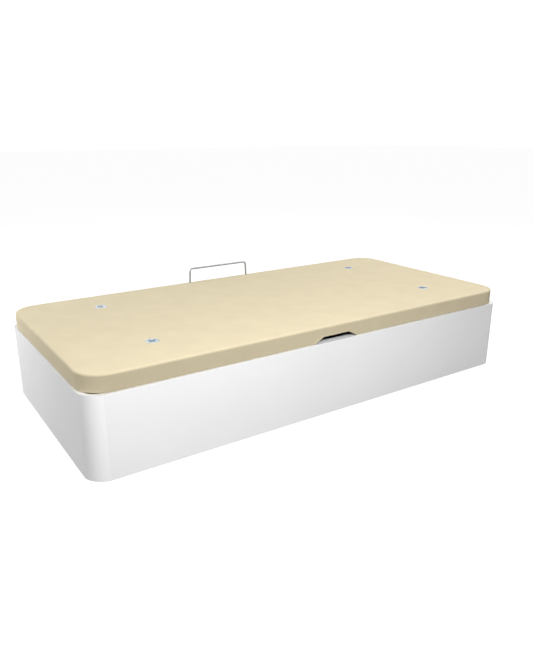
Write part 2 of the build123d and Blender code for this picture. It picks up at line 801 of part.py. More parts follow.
def add_tube_along_y(x_range, y_range):
    """Add a square tube across the bed to the part being built."""
    block(x_range, y_range, (frame_bottom, frame_top))
    block((x_range[0] + tube_wall, x_range[1] - tube_wall), y_range,
          (frame_bottom + tube_wall, frame_top - tube_wall), Mode.SUBTRACT)


def side_tube(side, name):
    """Square tube of the lid frame over an end board, with holes for the bracket's bolts."""
    with BuildPart() as tube:
        add_tube_along_y(sorted((side * tube_outer_x, side * (tube_outer_x - tube_size))),
                         side_tube_y)
        for y in bracket_bolts_y:
            disc(Plane.XY.offset(frame_bottom), (side * bracket_bolt_x, y),
                 bolt_radius + slip_clearance, tube_wall, Mode.SUBTRACT)
    save(tube, name)


straight_x = tube_outer_x - bend_reach
tube_along_x((-straight_x, straight_x), (tube_front_y, tube_front_y + tube_size), "frame_front_tube")
tube_along_x((-straight_x, straight_x), (tube_back_y - tube_size, tube_back_y), "frame_back_tube")
side_tube(-1, "frame_left_tube")
side_tube(1, "frame_right_tube")

with BuildPart() as frame_corner_bends:
    for corner in CORNERS:
        bend_centre = (straight_x, side_tube_y[1] if corner[1] > 0 else -side_tube_y[0])
        quarter_ring(corner, bend_centre, bend_reach, bend_reach - tube_size, (frame_bottom, frame_top))
        quarter_ring(corner, bend_centre, bend_reach - tube_wall, bend_reach - tube_size + tube_wall,
                     (frame_bottom + tube_wall, frame_top - tube_wall), Mode.SUBTRACT)
save(frame_corner_bends, "frame_corner_bends")

with BuildPart() as frame_cross_tubes:
    for x in cross_tube_places:
        add_tube_along_y((x - tube_size / 2, x + tube_size / 2),
                         (tube_front_y + tube_size, tube_back_y - tube_size))
save(frame_cross_tubes, "frame_cross_tubes")


# Edge strips, board, padding and cover

def notch_half_width(grow, z):
    """Half the width of the finger notch, grown evenly, at a height."""
    slope = (notch_bottom_width - notch_top_width) / 2 / notch_height
    return notch_bottom_width / 2 + grow * hypot(1, slope) - slope * (z - lid_bottom)


def front_plane(y):
    """Plane parallel to the front, at this y, with x along the bed and y up."""
    return Plane((0, y, 0), x_dir=(1, 0, 0), z_dir=(0, -1, 0))


def notch_prism(grow, y_range, mode):
    """Add or cut the finger notch's shape, grown evenly, between two depths."""
    bottom = lid_bottom - cut_margin
    top = lid_bottom + notch_height + grow
    half_at_bottom = notch_half_width(grow, bottom)
    half_at_top = notch_half_width(grow, top)
    with BuildSketch(front_plane(y_range[0])) as outline:
        with BuildLine():
            Polyline((-half_at_bottom, bottom), (half_at_bottom, bottom),
                     (half_at_top, top), (-half_at_top, top), close=True)
        make_face()
    extrude(outline.sketch, amount=-(y_range[1] - y_range[0]), mode=mode)


strip_end_x = core_half_x - core_radius
strip_end_y = core_half_y - core_radius
strip_inner_x = core_half_x - edge_strip_thickness
strip_inner_y = core_half_y - edge_strip_thickness
strip_z = (frame_bottom, frame_top)
socket_radius = bar_radius + socket_clearance + socket_wall
socket_bottom = lid_board_top - bar_depth + foam_thickness

notch_ceiling = lid_bottom + notch_height + liner_thickness
bridge_half = notch_half_width(liner_thickness, notch_ceiling)


def front_edge_strip(side, name):
    """The front strip on one side of the notch, with its end cut to the notch's slant."""
    tip_half = notch_half_width(liner_thickness, frame_bottom)
    with BuildPart() as strip:
        with BuildSketch(front_plane(-core_half_y)):
            with BuildLine():
                Polyline((side * strip_end_x, frame_bottom), (side * tip_half, frame_bottom),
                         (side * bridge_half, notch_ceiling), (side * bridge_half, frame_top),
                         (side * strip_end_x, frame_top), close=True)
            make_face()
        extrude(amount=-edge_strip_thickness)
    save(strip, name)


front_edge_strip(-1, "front_edge_strip_left")
front_edge_strip(1, "front_edge_strip_right")

with BuildPart() as notch_bridge:
    block((-bridge_half, bridge_half), (-core_half_y, -strip_inner_y), (notch_ceiling, frame_top))
save(notch_bridge, "notch_bridge")

with BuildPart() as back_edge_strip:
    block((-strip_end_x, strip_end_x), (strip_inner_y, core_half_y), strip_z)
    for place in bar_places:
        disc(Plane.XY.offset(socket_bottom), place, socket_radius + slip_clearance,
             frame_top - socket_bottom, Mode.SUBTRACT)
save(back_edge_strip, "back_edge_strip")

for side_name, side_sign in SIDES.items():
    with BuildPart() as side_edge_strip:
        block(sorted((side_sign * core_half_x, side_sign * strip_inner_x)),
              (-strip_end_y, strip_end_y), strip_z)
    save(side_edge_strip, f"{side_name}_edge_strip")

with BuildPart() as corner_edge_blocks:
    for corner in CORNERS:
        quarter_ring(corner, (strip_end_x, strip_end_y), core_radius,
                     core_radius - edge_strip_thickness, strip_z)
save(corner_edge_blocks, "corner_edge_blocks")

with BuildPart() as grip_liner:
    liner_y = (-core_half_y, tube_front_y - liner_end_gap)
    liner_cut_y = (liner_y[0] - cut_margin, liner_y[1] + cut_margin)
    notch_prism(liner_thickness, liner_y, Mode.ADD)
    notch_prism(0, liner_cut_y, Mode.SUBTRACT)
    block((-notch_bottom_width, notch_bottom_width), liner_cut_y,
          (lid_bottom - 2 * cut_margin, frame_bottom), Mode.SUBTRACT)
save(grip_liner, "grip_liner")

vent_sleeve_radius = vent_mouth_radius + vent_sleeve_wall

with BuildPart() as lid_board:
    rounded_slab(core_half_x, core_half_y, core_radius, (frame_top, lid_board_top))
    for place in vent_places:
        disc(Plane.XY.offset(frame_top), place, vent_sleeve_radius + vent_clearance,
             lid_board_thickness, Mode.SUBTRACT)
    for place in bar_places:
        disc(Plane.XY.offset(frame_top), place, socket_radius + slip_clearance,
             lid_board_thickness, Mode.SUBTRACT)
save(lid_board, "lid_board")

with BuildPart() as foam_pad:
    rounded_slab(core_half_x, core_half_y, core_radius, (lid_board_top, foam_top))
    fillet(foam_pad.edges().group_by(Axis.Z)[-1], foam_edge_radius)
    for place in vent_places:
        disc(Plane.XY.offset(lid_board_top), place, vent_sleeve_radius + vent_clearance,
             foam_thickness, Mode.SUBTRACT)
    for place in bar_places:
        disc(Plane.XY.offset(lid_board_top), place, bar_radius + bar_hole_clearance,
             foam_thickness, Mode.SUBTRACT)
save(foam_pad, "foam_pad")

with BuildPart() as fabric_cover:
    rounded_slab(lid_half_x, lid_half_y, lid_corner_radius, (lid_bottom, lid_top))
    fillet(fabric_cover.edges().group_by(Axis.Z)[-1], cover_edge_radius)
    rounded_slab(core_half_x + cover_gap, core_half_y + cover_gap, core_radius + cover_gap,
                 (frame_bottom, foam_top), Mode.SUBTRACT)
    rounded_slab(lid_half_x - hem_width, lid_half_y - hem_width, lid_corner_radius - hem_width,
                 (lid_bottom, frame_bottom), Mode.SUBTRACT)
    notch_prism(0, (-lid_half_y - cut_margin, -lid_half_y + hem_width + cut_margin), Mode.SUBTRACT)
    for place in vent_places:
        disc(Plane.XY.offset(foam_top), place, vent_rim_radius + vent_clearance,
             cover_thickness, Mode.SUBTRACT)
    for place in bar_places:
        disc(Plane.XY.offset(foam_top), place, bar_radius + bar_hole_clearance,
             cover_thickness, Mode.SUBTRACT)
save(fabric_cover, "fabric_cover")


# Vents

vent_rim_top = lid_top - vent_rim_recess
grille_top = vent_rim_top - vent_grille_depth
grille_bottom = grille_top - vent_grille_thickness
with BuildPart() as vent_rims:
    for place in vent_places:
        disc(Plane.XY.offset(foam_top), place, vent_rim_radius, vent_rim_top - foam_top)
        disc(Plane.XY.offset(frame_top), place, vent_sleeve_radius, foam_top - frame_top)
    fillet(vent_rims.edges().group_by(Axis.Z)[-1], vent_rim_round)
    for place in vent_places:
        disc(Plane.XY.offset(frame_top), place, vent_mouth_radius, vent_rim_top - frame_top, Mode.SUBTRACT)
save(vent_rims, "vent_rims")

with BuildPart() as vent_grilles:
    for place in vent_places:
        disc(Plane.XY.offset(grille_bottom), place, vent_mouth_radius - slip_clearance, vent_grille_thickness)
        for offset_y in evenly(vent_slot_count, vent_slot_pitch):
            reach = (vent_mouth_radius ** 2 - offset_y ** 2) ** 0.5 - vent_slot_width
            with BuildSketch(Plane.XY.offset(grille_bottom)) as slot:
                with Locations((place[0], place[1] + offset_y)):
                    SlotOverall(2 * reach, vent_slot_width)
            extrude(slot.sketch, amount=vent_grille_thickness, mode=Mode.SUBTRACT)
save(vent_grilles, "vent_grilles")


# Mattress stop

bar_bottom = foam_top - bar_depth
bar_top = lid_top + bar_rise
with BuildPart() as mattress_stop_bar:
    with BuildLine() as bar_path:
        FilletPolyline(
            (-bar_span / 2, bar_y, bar_bottom),
            (-bar_span / 2, bar_y, lid_top),
            (-bar_span / 2 + bar_lean, bar_y, bar_top),
            (bar_span / 2 - bar_lean, bar_y, bar_top),
            (bar_span / 2, bar_y, lid_top),
            (bar_span / 2, bar_y, bar_bottom),
            radius=bar_bend_radius,
        )
    with BuildSketch(Plane.XY.offset(bar_bottom)):
        with Locations(bar_places[0]):
            Circle(bar_radius)
    sweep(path=bar_path.wires()[0])
save(mattress_stop_bar, "mattress_stop_bar")

with BuildPart() as stop_bar_sockets:
    for place in bar_places:
        disc(Plane.XY.offset(socket_bottom), place, socket_radius, lid_board_top - socket_bottom)
        disc(Plane.XY.offset(bar_bottom), place, bar_radius + socket_clearance,
             lid_board_top - bar_bottom, Mode.SUBTRACT)
save(stop_bar_sockets, "stop_bar_sockets")
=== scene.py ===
"""Looks of the lift-up storage bed base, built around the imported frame. Metres, +Z up."""

import json
from math import atan2, ceil, cos, pi, radians, sin, sqrt, tan

import bmesh
import bpy
from bpy.props import FloatProperty, FloatVectorProperty, IntProperty, PointerProperty
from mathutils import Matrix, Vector, geometry, noise


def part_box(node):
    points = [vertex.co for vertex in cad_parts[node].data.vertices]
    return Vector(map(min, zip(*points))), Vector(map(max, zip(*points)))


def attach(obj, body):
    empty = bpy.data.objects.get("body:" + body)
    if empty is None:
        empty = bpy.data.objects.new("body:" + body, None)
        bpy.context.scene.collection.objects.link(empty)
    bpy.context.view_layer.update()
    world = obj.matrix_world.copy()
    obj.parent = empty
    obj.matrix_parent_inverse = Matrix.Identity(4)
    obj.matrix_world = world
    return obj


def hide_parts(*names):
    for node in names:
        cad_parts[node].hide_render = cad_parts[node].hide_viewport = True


bl_info = {
    "name": "Lift-up storage bed base",
    "version": (1, 0, 0),
    "blender": (4, 5, 0),
    "location": "3D view > Sidebar > Bed base",
    "description": "Cover, padding, fastenings, finishes and studio of a lift-up storage bed base",
    "category": "Object",
}

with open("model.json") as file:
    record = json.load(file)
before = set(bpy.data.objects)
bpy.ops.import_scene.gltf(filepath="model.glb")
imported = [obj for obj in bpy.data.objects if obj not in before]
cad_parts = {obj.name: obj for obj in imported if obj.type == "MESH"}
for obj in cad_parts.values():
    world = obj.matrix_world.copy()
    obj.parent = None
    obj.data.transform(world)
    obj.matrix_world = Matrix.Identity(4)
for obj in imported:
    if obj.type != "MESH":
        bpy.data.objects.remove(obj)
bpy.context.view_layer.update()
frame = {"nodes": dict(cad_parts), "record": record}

MM = 0.001

# Sockets of a mix node that mixes two colours
MIX_A = 6
MIX_B = 7
MIX_RESULT = 2

# Finger notch in the front edge
notch_half_top = 60 * MM
notch_half_bottom = 97.5 * MM
notch_round = 4 * MM
notch_lining = 1.5 * MM
notch_zone = 112 * MM
notch_point_step = 4 * MM
notch_past_hem = 3 * MM
notch_clear = 11 * MM

# Holes in the cloth and the foam
vent_hole_radius = 23.3 * MM
leg_hole_radius = 4.4 * MM
foam_vent_radius = 16.2 * MM

# Rings of points round the openings of the cloth, outwards from their edges
notch_rings = [grow * MM for grow in (0.9, 1.8, 2.8, 4, 5.5, 9)]
vent_rings = [grow * MM for grow in (0, 2, 5, 10, 17)]
leg_rings = [grow * MM for grow in (0, 1.5, 4)]

# Rows of points over the top fold, the side, the lower fold and the hem
fold_rows = 7
side_rows = 6
turn_rows = 3
hem_rows = 2

# Soft shape of the cloth: dimples round the vents, and the hem pulled in by its staples
dimple_reach = 30 * MM
dimple_depth = 0.5 * MM
hem_pull = 0.1 * MM
hem_squeeze = 0.4

# Painted shade on the cloth: how much darker it is over the edge, on the long sides, and less towards the
# right end
painted_shade_fold = 0.04
painted_shade_long_side = 0.37
painted_shade_fade = 0.22

# Foam pad
foam_corner = 97.8 * MM
foam_inset = 0.4 * MM
foam_edge_radius = 3 * MM
foam_point_step = 20 * MM

# Line of the hem's staples
staple_line_step = 15 * MM
staple_sink = 0.2 * MM

# Screws
screw_head_height = 1.2 * MM
thread_pitch = 1.4 * MM
screw_sides = 24


# Colour and node helpers

def linear(hex_colour):
    """Turn an sRGB colour such as "EDE2C2" into the linear one that a shader takes."""
    channels = [int(hex_colour[i:i + 2], 16) / 255 for i in (0, 2, 4)]
    return tuple(c / 12.92 if c <= 0.04045 else ((c + 0.055) / 1.055) ** 2.4 for c in channels) + (1.0,)


def add_node(tree, kind, settings=None, links=None):
    """Add a node, give it its settings and input values, and link its inputs."""
    node = tree.nodes.new(kind)
    for name, value in (settings or {}).items():
        if isinstance(name, int) or name in node.inputs:
            node.inputs[name].default_value = value
        else:
            setattr(node, name, value)
    for name, source in (links or {}).items():
        tree.links.new(source, node.inputs[name])
    return node


def new_material(name):
    """An empty node material and its tree."""
    material = bpy.data.materials.new(name)
    material.use_nodes = True
    material.node_tree.nodes.clear()
    return material, material.node_tree


def object_point(tree, stretch=(1, 1, 1)):
    """Object coordinates in metres, stretched along the axes."""
    place = add_node(tree, "ShaderNodeTexCoord")
    mapped = add_node(tree, "ShaderNodeMapping", {"Scale": stretch}, {"Vector": place.outputs["Object"]})
    return mapped.outputs["Vector"]


def noise_value(tree, point, size, detail=3.0, roughness=0.5):
    """Noise whose features are about this size in metres."""
    settings = {"Scale": 1 / size, "Detail": detail, "Roughness": roughness}
    return add_node(tree, "ShaderNodeTexNoise", settings, {"Vector": point}).outputs["Fac"]


def ramp(tree, value, stops):
    """Colours or greys along a value; stops are (position, hex colour)."""
    node = add_node(tree, "ShaderNodeValToRGB", links={"Fac": value})
    elements = node.color_ramp.elements
    while len(elements) < len(stops):
        elements.new(0.5)
    for element, (position, colour) in zip(elements, stops):
        element.position = position
        element.color = linear(colour)
    return node.outputs["Color"]


def spread(tree, value, low, high):
    """Spread a value from 0..1 to low..high."""
    settings = {"To Min": low, "To Max": high}
    return add_node(tree, "ShaderNodeMapRange", settings, {"Value": value}).outputs["Result"]


def bump(tree, height, depth, strength=1.0, under=None):
    """A normal from a height, depth metres deep, over another normal if one is given."""
    links = {"Height": height}
    if under is not None:
        links["Normal"] = under
    settings = {"Strength": strength, "Distance": depth}
    return add_node(tree, "ShaderNodeBump", settings, links).outputs["Normal"]


def two_tones(tree, value, dark, light):
    """A colour that drifts between two close tones."""
    return ramp(tree, value, [(0.3, dark), (0.7, light)])


def finish_surface(material, settings, colour, shine, relief):
    """Close a material with its surface shader, and return it."""
    tree = material.node_tree
    links = {"Base Color": colour, "Roughness": shine, "Normal": relief}
    shader = add_node(tree, "ShaderNodeBsdfPrincipled", settings, links)
    add_node(tree, "ShaderNodeOutputMaterial", links={"Surface": shader.outputs["BSDF"]})
    return material


# Boards and wood

def white_skin(name, dark, light):
    """White melamine paper or foil on board: a satin skin with a fine pearl grain."""
    material, tree = new_material(name)
    point = object_point(tree)
    cloud = noise_value(tree, point, 0.35, 2.0)
    pearl = noise_value(tree, point, 0.0011, 2.0)
    colour = two_tones(tree, cloud, dark, light)
    shine = spread(tree, pearl, 0.4, 0.52)
    relief = bump(tree, pearl, 0.00004, 0.35)
    return finish_surface(material, {"IOR": 1.5}, colour, shine, relief)


def raw_chipboard():
    """Bare chipboard: flat pressed chips of mixed wood, matt, a few millimetres across."""
    material, tree = new_material("raw_chipboard")
    point = object_point(tree, (1, 1.6, 1))
    settings = {"Scale": 1 / 0.005, "Randomness": 1.0}
    chips = add_node(tree, "ShaderNodeTexVoronoi", settings, {"Vector": point})
    tone = add_node(tree, "ShaderNodeSeparateColor", links={"Color": chips.outputs["Color"]})
    dust = noise_value(tree, point, 0.0012, 4.0)
    mixed = add_node(tree, "ShaderNodeMath", {"operation": "MULTIPLY_ADD", 1: 0.6},
                     {0: tone.outputs["Red"], 2: spread(tree, dust, 0.0, 0.4)}).outputs["Value"]
    colour = ramp(tree, mixed, [(0.1, "A98455"), (0.45, "C8A473"), (0.75, "D9BD90"), (0.95, "E6D2AC")])
    shine = spread(tree, dust, 0.75, 0.9)
    relief = bump(tree, mixed, 0.0003, 0.5)
    return finish_surface(material, {"IOR": 1.5}, colour, shine, relief)


def planed_pine(name, stretch):
    """Planed pine: pale early wood, amber late wood in lines along the grain, and short pores."""
    material, tree = new_material(name)
    point = object_point(tree, stretch)
    waves = {"Scale": 1 / 0.045, "Distortion": 5.0, "Detail": 3.0, "Detail Scale": 1.2,
             "bands_direction": "DIAGONAL"}
    rings = add_node(tree, "ShaderNodeTexWave", waves, {"Vector": point}).outputs["Fac"]
    pores = noise_value(tree, point, 0.002, 4.0, 0.65)
    mixed = add_node(tree, "ShaderNodeMath", {"operation": "MULTIPLY_ADD", 1: 0.7},
                     {0: rings, 2: spread(tree, pores, 0.0, 0.3)}).outputs["Value"]
    colour = ramp(tree, mixed, [(0.15, "EBD3A5"), (0.55, "E0C08A"), (0.85, "C79A5E")])
    shine = spread(tree, pores, 0.5, 0.7)
    relief = bump(tree, mixed, 0.0002, 0.4)
    return finish_surface(material, {"IOR": 1.5}, colour, shine, relief)


# Metals and plastics

def zinc_plate():
    """Zinc-plated pressed steel: grey, half bright, with faint flakes and press marks."""
    material, tree = new_material("zinc_plated_steel")
    point = object_point(tree)
    flakes = add_node(tree, "ShaderNodeTexVoronoi", {"Scale": 1 / 0.009}, {"Vector": point})
    tone = add_node(tree, "ShaderNodeSeparateColor", links={"Color": flakes.outputs["Color"]})
    smear = noise_value(tree, point, 0.004, 4.0, 0.6)
    mixed = add_node(tree, "ShaderNodeMath", {"operation": "MULTIPLY_ADD", 1: 0.5},
                     {0: tone.outputs["Red"], 2: spread(tree, smear, 0.0, 0.5)}).outputs["Value"]
    colour = ramp(tree, mixed, [(0.1, "B3B8BD"), (0.9, "D2D6D9")])
    shine = spread(tree, mixed, 0.28, 0.5)
    relief = bump(tree, smear, 0.00005, 0.4)
    return finish_surface(material, {"Metallic": 1.0}, colour, shine, relief)


def powder_coat(name, dark, light, gloss):
    """Polyester powder coat on steel: an even colour with the slight ripple of melted powder."""
    material, tree = new_material(name)
    point = object_point(tree)
    ripple = noise_value(tree, point, 0.0014, 2.0)
    cloud = noise_value(tree, point, 0.08, 3.0)
    colour = two_tones(tree, cloud, dark, light)
    shine = spread(tree, ripple, gloss, gloss + 0.14)
    relief = bump(tree, ripple, 0.00008, 0.5)
    return finish_surface(material, {"IOR": 1.5}, colour, shine, relief)


def screw_steel():
    """Bright zinc on turned steel, with fine turning marks. Screws, bolts, pins and staples share it."""
    if "bright_zinc_steel" in bpy.data.materials:
        return bpy.data.materials["bright_zinc_steel"]
    material, tree = new_material("bright_zinc_steel")
    point = object_point(tree)
    marks = noise_value(tree, point, 0.0006, 3.0, 0.6)
    colour = two_tones(tree, marks, "BFC2C6", "DADCDD")
    shine = spread(tree, marks, 0.2, 0.38)
    relief = bump(tree, marks, 0.00003, 0.4)
    return finish_surface(material, {"Metallic": 1.0}, colour, shine, relief)


def strut_paint():
    """Black stove enamel on the gas cylinders: deep, smooth and glossy."""
    material, tree = new_material("black_stove_enamel")
    point = object_point(tree)
    cloud = noise_value(tree, point, 0.03, 3.0)
    colour = two_tones(tree, cloud, "141415", "1C1C1E")
    shine = spread(tree, cloud, 0.16, 0.26)
    relief = bump(tree, noise_value(tree, point, 0.002), 0.00003, 0.3)
    return finish_surface(material, {"IOR": 1.52}, colour, shine, relief)


def ground_rod():
    """Hard-chromed ground steel: mirror bright, with hair-fine drawing lines along it."""
    material, tree = new_material("hard_chrome_steel")
    point = object_point(tree)
    lines = noise_value(tree, point, 0.0008, 3.0)
    colour = two_tones(tree, lines, "C4C7CA", "D6D8DA")
    shine = spread(tree, lines, 0.08, 0.18)
    relief = bump(tree, lines, 0.00002, 0.3)
    return finish_surface(material, {"Metallic": 1.0}, colour, shine, relief)


def nickel_wire():
    """Satin nickel on bent steel rod: mid grey, softly bright, a little worn at the bends."""
    material, tree = new_material("satin_nickel_rod")
    point = object_point(tree)
    wear = noise_value(tree, point, 0.012, 4.0, 0.6)
    drawn = noise_value(tree, point, 0.0009, 2.0)
    colour = two_tones(tree, wear, "8B8D90", "9EA0A3")
    shine = spread(tree, wear, 0.3, 0.44)
    relief = bump(tree, drawn, 0.00003, 0.4)
    return finish_surface(material, {"Metallic": 1.0}, colour, shine, relief)


def vent_metal():
    """Bright-rolled aluminium vents: cool silver with fine rolling streaks."""
    material, tree = new_material("bright_aluminium")
    point = object_point(tree, (1, 8, 1))
    streaks = noise_value(tree, point, 0.003, 4.0, 0.6)
    colour = two_tones(tree, streaks, "9EABB8", "B9C5D0")
    shine = spread(tree, streaks, 0.18, 0.34)
    relief = bump(tree, streaks, 0.00004, 0.4)
    return finish_surface(material, {"Metallic": 1.0}, colour, shine, relief)


def clear_rubber():
    """Clear polyurethane bumpers: soft, slightly milky and glossy."""
    material, tree = new_material("clear_polyurethane")
    point = object_point(tree)
    milk = noise_value(tree, point, 0.004, 2.0)
    colour = two_tones(tree, milk, "E9EBEC", "F5F6F6")
    shine = spread(tree, milk, 0.12, 0.25)
    relief = bump(tree, milk, 0.0001, 0.3)
    return finish_surface(material, {"IOR": 1.5, "Transmission Weight": 0.55}, colour, shine, relief)


def moulded_plastic():
    """Black ABS: moulded with a fine spark-eroded grain, dull in the light."""
    material, tree = new_material("black_abs")
    point = object_point(tree)
    grain = noise_value(tree, point, 0.0009, 2.0)
    colour = two_tones(tree, grain, "17181A", "202123")
    shine = spread(tree, grain, 0.45, 0.62)
    relief = bump(tree, grain, 0.0001, 0.5)
    return finish_surface(material, {"IOR": 1.53}, colour, shine, relief)


def padding_foam():
    """Open-cell polyurethane foam: pale yellow, matt, full of tiny pores."""
    material, tree = new_material("polyurethane_foam")
    point = object_point(tree)
    pores = add_node(tree, "ShaderNodeTexVoronoi", {"Scale": 1 / 0.0016}, {"Vector": point})
    cells = pores.outputs["Distance"]
    cloud = noise_value(tree, point, 0.05)
    colour = two_tones(tree, cloud, "E9DEB4", "F2E9C6")
    shine = spread(tree, cells, 0.85, 0.95)
    relief = bump(tree, cells, 0.0006, 0.6)
    return finish_surface(material, {"IOR": 1.4, "Sheen Weight": 0.2}, colour, shine, relief)


def spacer_mesh(colours):
    """Knitted polyester spacer mesh: round holes in a hexagonal net, darkened in the holes with painted
    shade, with a soft sheen.

    The net follows the flat cut of the cloth, which is the UV map in metres. The cloth's colour is scaled by
    a per-vertex attribute of painted shade: darker where it turns down over the edge, most on the long sides
    towards the left end.
    """
    material, tree = new_material("polyester_spacer_mesh")
    flat = add_node(tree, "ShaderNodeUVMap", {"uv_map": "flat_cut"}).outputs["UV"]
    waves = []
    for turn in (0, 60, 120):
        across = Vector((cos(radians(turn)), sin(radians(turn)), 0)) * 2 * pi / colours.net_pitch
        along = add_node(tree, "ShaderNodeVectorMath", {"operation": "DOT_PRODUCT", 1: across}, {0: flat})
        wave = add_node(tree, "ShaderNodeMath", {"operation": "COSINE"}, {0: along.outputs["Value"]})
        waves.append(wave.outputs["Value"])
    pair = add_node(tree, "ShaderNodeMath", {"operation": "ADD"}, {0: waves[0], 1: waves[1]})
    total = add_node(tree, "ShaderNodeMath", {"operation": "ADD"}, {0: pair.outputs["Value"], 1: waves[2]})
    holes = add_node(tree, "ShaderNodeMapRange", {"From Min": 0.6, "From Max": 2.2},
                     {"Value": total.outputs["Value"]}).outputs["Result"]
    yarn = noise_value(tree, flat, 0.0007, 3.0, 0.6)
    cloud = noise_value(tree, flat, 0.09, 4.0, 0.55)
    base = two_tones(tree, cloud, colours.cloth_dark_hex, colours.cloth_light_hex)
    # The holes are darkened towards B9AB84: painted shade of the layer under the net
    layers = {"data_type": "RGBA", "blend_type": "MULTIPLY", MIX_B: linear("B9AB84")}
    deep = add_node(tree, "ShaderNodeMix", layers, {"Factor": spread(tree, holes, 0.0, 0.5), MIX_A: base})
    # Painted shade: the colour is scaled down over the edge and on the sides, most on the long sides towards
    # the left end
    nap = add_node(tree, "ShaderNodeAttribute", {"attribute_name": "nap"}).outputs["Fac"]
    toned = add_node(tree, "ShaderNodeVectorMath", {"operation": "SCALE"},
                     {0: deep.outputs[MIX_RESULT], "Scale": nap})
    yarn_relief = bump(tree, yarn, 0.00015, 0.35)
    relief = bump(tree, holes, -0.0008, 0.35, yarn_relief)
    settings = {"IOR": 1.45, "Sheen Weight": 0.08, "Sheen Roughness": 0.5, "Specular IOR Level": 0.2}
    shine = spread(tree, yarn, 0.82, 0.95)
    return finish_surface(material, settings, toned.outputs["Vector"], shine, relief)


# Settings that a user would change

class CoverSettings(bpy.types.PropertyGroup):
    """Sizes of the fabric cover."""
    corner: FloatProperty(
        name="Corner radius",
        description="Radius of the lid's corners in plan, which nearly reach the posts",
        default=95 * MM, unit="LENGTH")
    edge_radius: FloatProperty(
        name="Edge radius", description="Radius of the fold round the lid's top edge",
        default=8 * MM, unit="LENGTH")
    hem_radius: FloatProperty(
        name="Hem radius", description="Radius of the fold round the lid's lower edge",
        default=2 * MM, unit="LENGTH")
    hem_width: FloatProperty(
        name="Hem width", description="Width of cloth that is turned under the lid",
        default=21 * MM, unit="LENGTH")
    cloth: FloatProperty(
        name="Cloth thickness", description="Thickness of the spacer cloth",
        default=3.5 * MM, unit="LENGTH")
    mesh_step: FloatProperty(
        name="Mesh step", description="Distance between points of the cloth's mesh",
        default=11 * MM, unit="LENGTH")
    sway: FloatProperty(
        name="Sway", description="Height of the soft waves in the stretched cloth",
        default=0.35 * MM, unit="LENGTH")
    bead: FloatProperty(
        name="Notch bead", description="Height of the bound edge round the finger notch",
        default=1.4 * MM, unit="LENGTH")
    bead_width: FloatProperty(
        name="Notch bead width", description="Width of the bound edge round the finger notch",
        default=5 * MM, unit="LENGTH")
    seed: IntProperty(name="Seed", description="Seed of the soft waves", default=7)


class FinishSettings(bpy.types.PropertyGroup):
    """Colours and pattern sizes of the finishes."""
    cloth_light: FloatVectorProperty(
        name="Cloth, light", description="Lighter tone of the cloth, sRGB",
        default=(0.965, 0.912, 0.782), size=3, subtype="COLOR_GAMMA")
    cloth_dark: FloatVectorProperty(
        name="Cloth, dark", description="Darker tone of the cloth, sRGB",
        default=(0.945, 0.892, 0.762), size=3, subtype="COLOR_GAMMA")
    net_pitch: FloatProperty(
        name="Net pitch", description="Distance between rows of holes in the cloth",
        default=3.6 * MM, unit="LENGTH")

    @property
    def cloth_light_hex(self):
        """The lighter tone as sRGB hex."""
        return "".join(f"{round(c * 255):02X}" for c in self.cloth_light)

    @property
    def cloth_dark_hex(self):
        """The darker tone as sRGB hex."""
        return "".join(f"{round(c * 255):02X}" for c in self.cloth_dark)


class FasteningSettings(bpy.types.PropertyGroup):
    """Sizes of the staples and screw heads."""
    staple_pitch: FloatProperty(
        name="Staple pitch", description="Distance between the staples along the hem",
        default=40 * MM, unit="LENGTH")
    staple_crown: FloatProperty(
        name="Staple crown", description="Width of a staple",
        default=10 * MM, unit="LENGTH")
    staple_wire: FloatProperty(
        name="Staple wire", description="Thickness of the staple wire",
        default=0.7 * MM, unit="LENGTH")
    staple_inset: FloatProperty(
        name="Staple inset", description="Distance of the staples from the lid's edge",
        default=13 * MM, unit="LENGTH")


class StudioSettings(bpy.types.PropertyGroup):
    """Strengths of the studio's light."""
    surround: FloatProperty(name="Surround", description="Strength of the light from all round", default=0.1)
    far: FloatProperty(
        name="Far", description="Power of the lamp above the right end", default=47.0, unit="POWER")
    front: FloatProperty(
        name="Front", description="Power of the lamp at the front left", default=23.6, unit="POWER")
    corner: FloatProperty(
        name="Corner", description="Power of the small lamp by the near corner", default=19.5, unit="POWER")
    long_side: FloatProperty(
        name="Long side", description="Power of the lamp before the long side", default=22.5, unit="POWER")
    end: FloatProperty(
        name="End", description="Power of the lamp by the left end", default=9.0, unit="POWER")
    low_end: FloatProperty(
        name="Low end", description="Power of the low lamp by the left end", default=8.5, unit="POWER")
    back: FloatProperty(
        name="Back", description="Power of the lamp behind the bed", default=16.0, unit="POWER")


# Shapes shared by the pieces

def rounded_stations(half_x, half_y, radius, step):
    """Points round a rounded rectangle, anticlockwise, each with the direction that faces outwards."""
    stations = []
    centres = [(half_x - radius, half_y - radius), (radius - half_x, half_y - radius),
               (radius - half_x, radius - half_y), (half_x - radius, radius - half_y)]
    for index, centre in enumerate(centres):
        start = pi / 2 * index
        bends = max(4, ceil(pi / 2 * radius / step))
        for bend in range(bends + 1):
            angle = start + pi / 2 * bend / bends
            outward = Vector((cos(angle), sin(angle)))
            stations.append((Vector(centre) + outward * radius, outward))
        following = centres[(index + 1) % 4]
        side = Vector(following) - Vector(centre)
        outward = Vector((cos(start + pi / 2), sin(start + pi / 2)))
        runs = ceil(side.length / step)
        for run in range(1, runs):
            stations.append((Vector(centre) + outward * radius + side * run / runs, outward))
    return stations


def outline_distance(point, half_x, half_y, radius):
    """Distance from a rounded rectangle, below zero inside it, with the nearest point and its outward."""
    corner = Vector((abs(point.x) - (half_x - radius), abs(point.y) - (half_y - radius)))
    signs = Vector((1 if point.x >= 0 else -1, 1 if point.y >= 0 else -1))
    if corner.x > 0 and corner.y > 0:
        outward = corner.normalized()
        distance = corner.length - radius
    elif corner.x > corner.y:
        outward = Vector((1, 0))
        distance = corner.x - radius
    else:
        outward = Vector((0, 1))
        distance = corner.y - radius
    outward = Vector((outward.x * signs.x, outward.y * signs.y))
    return distance, point - outward * distance, outward


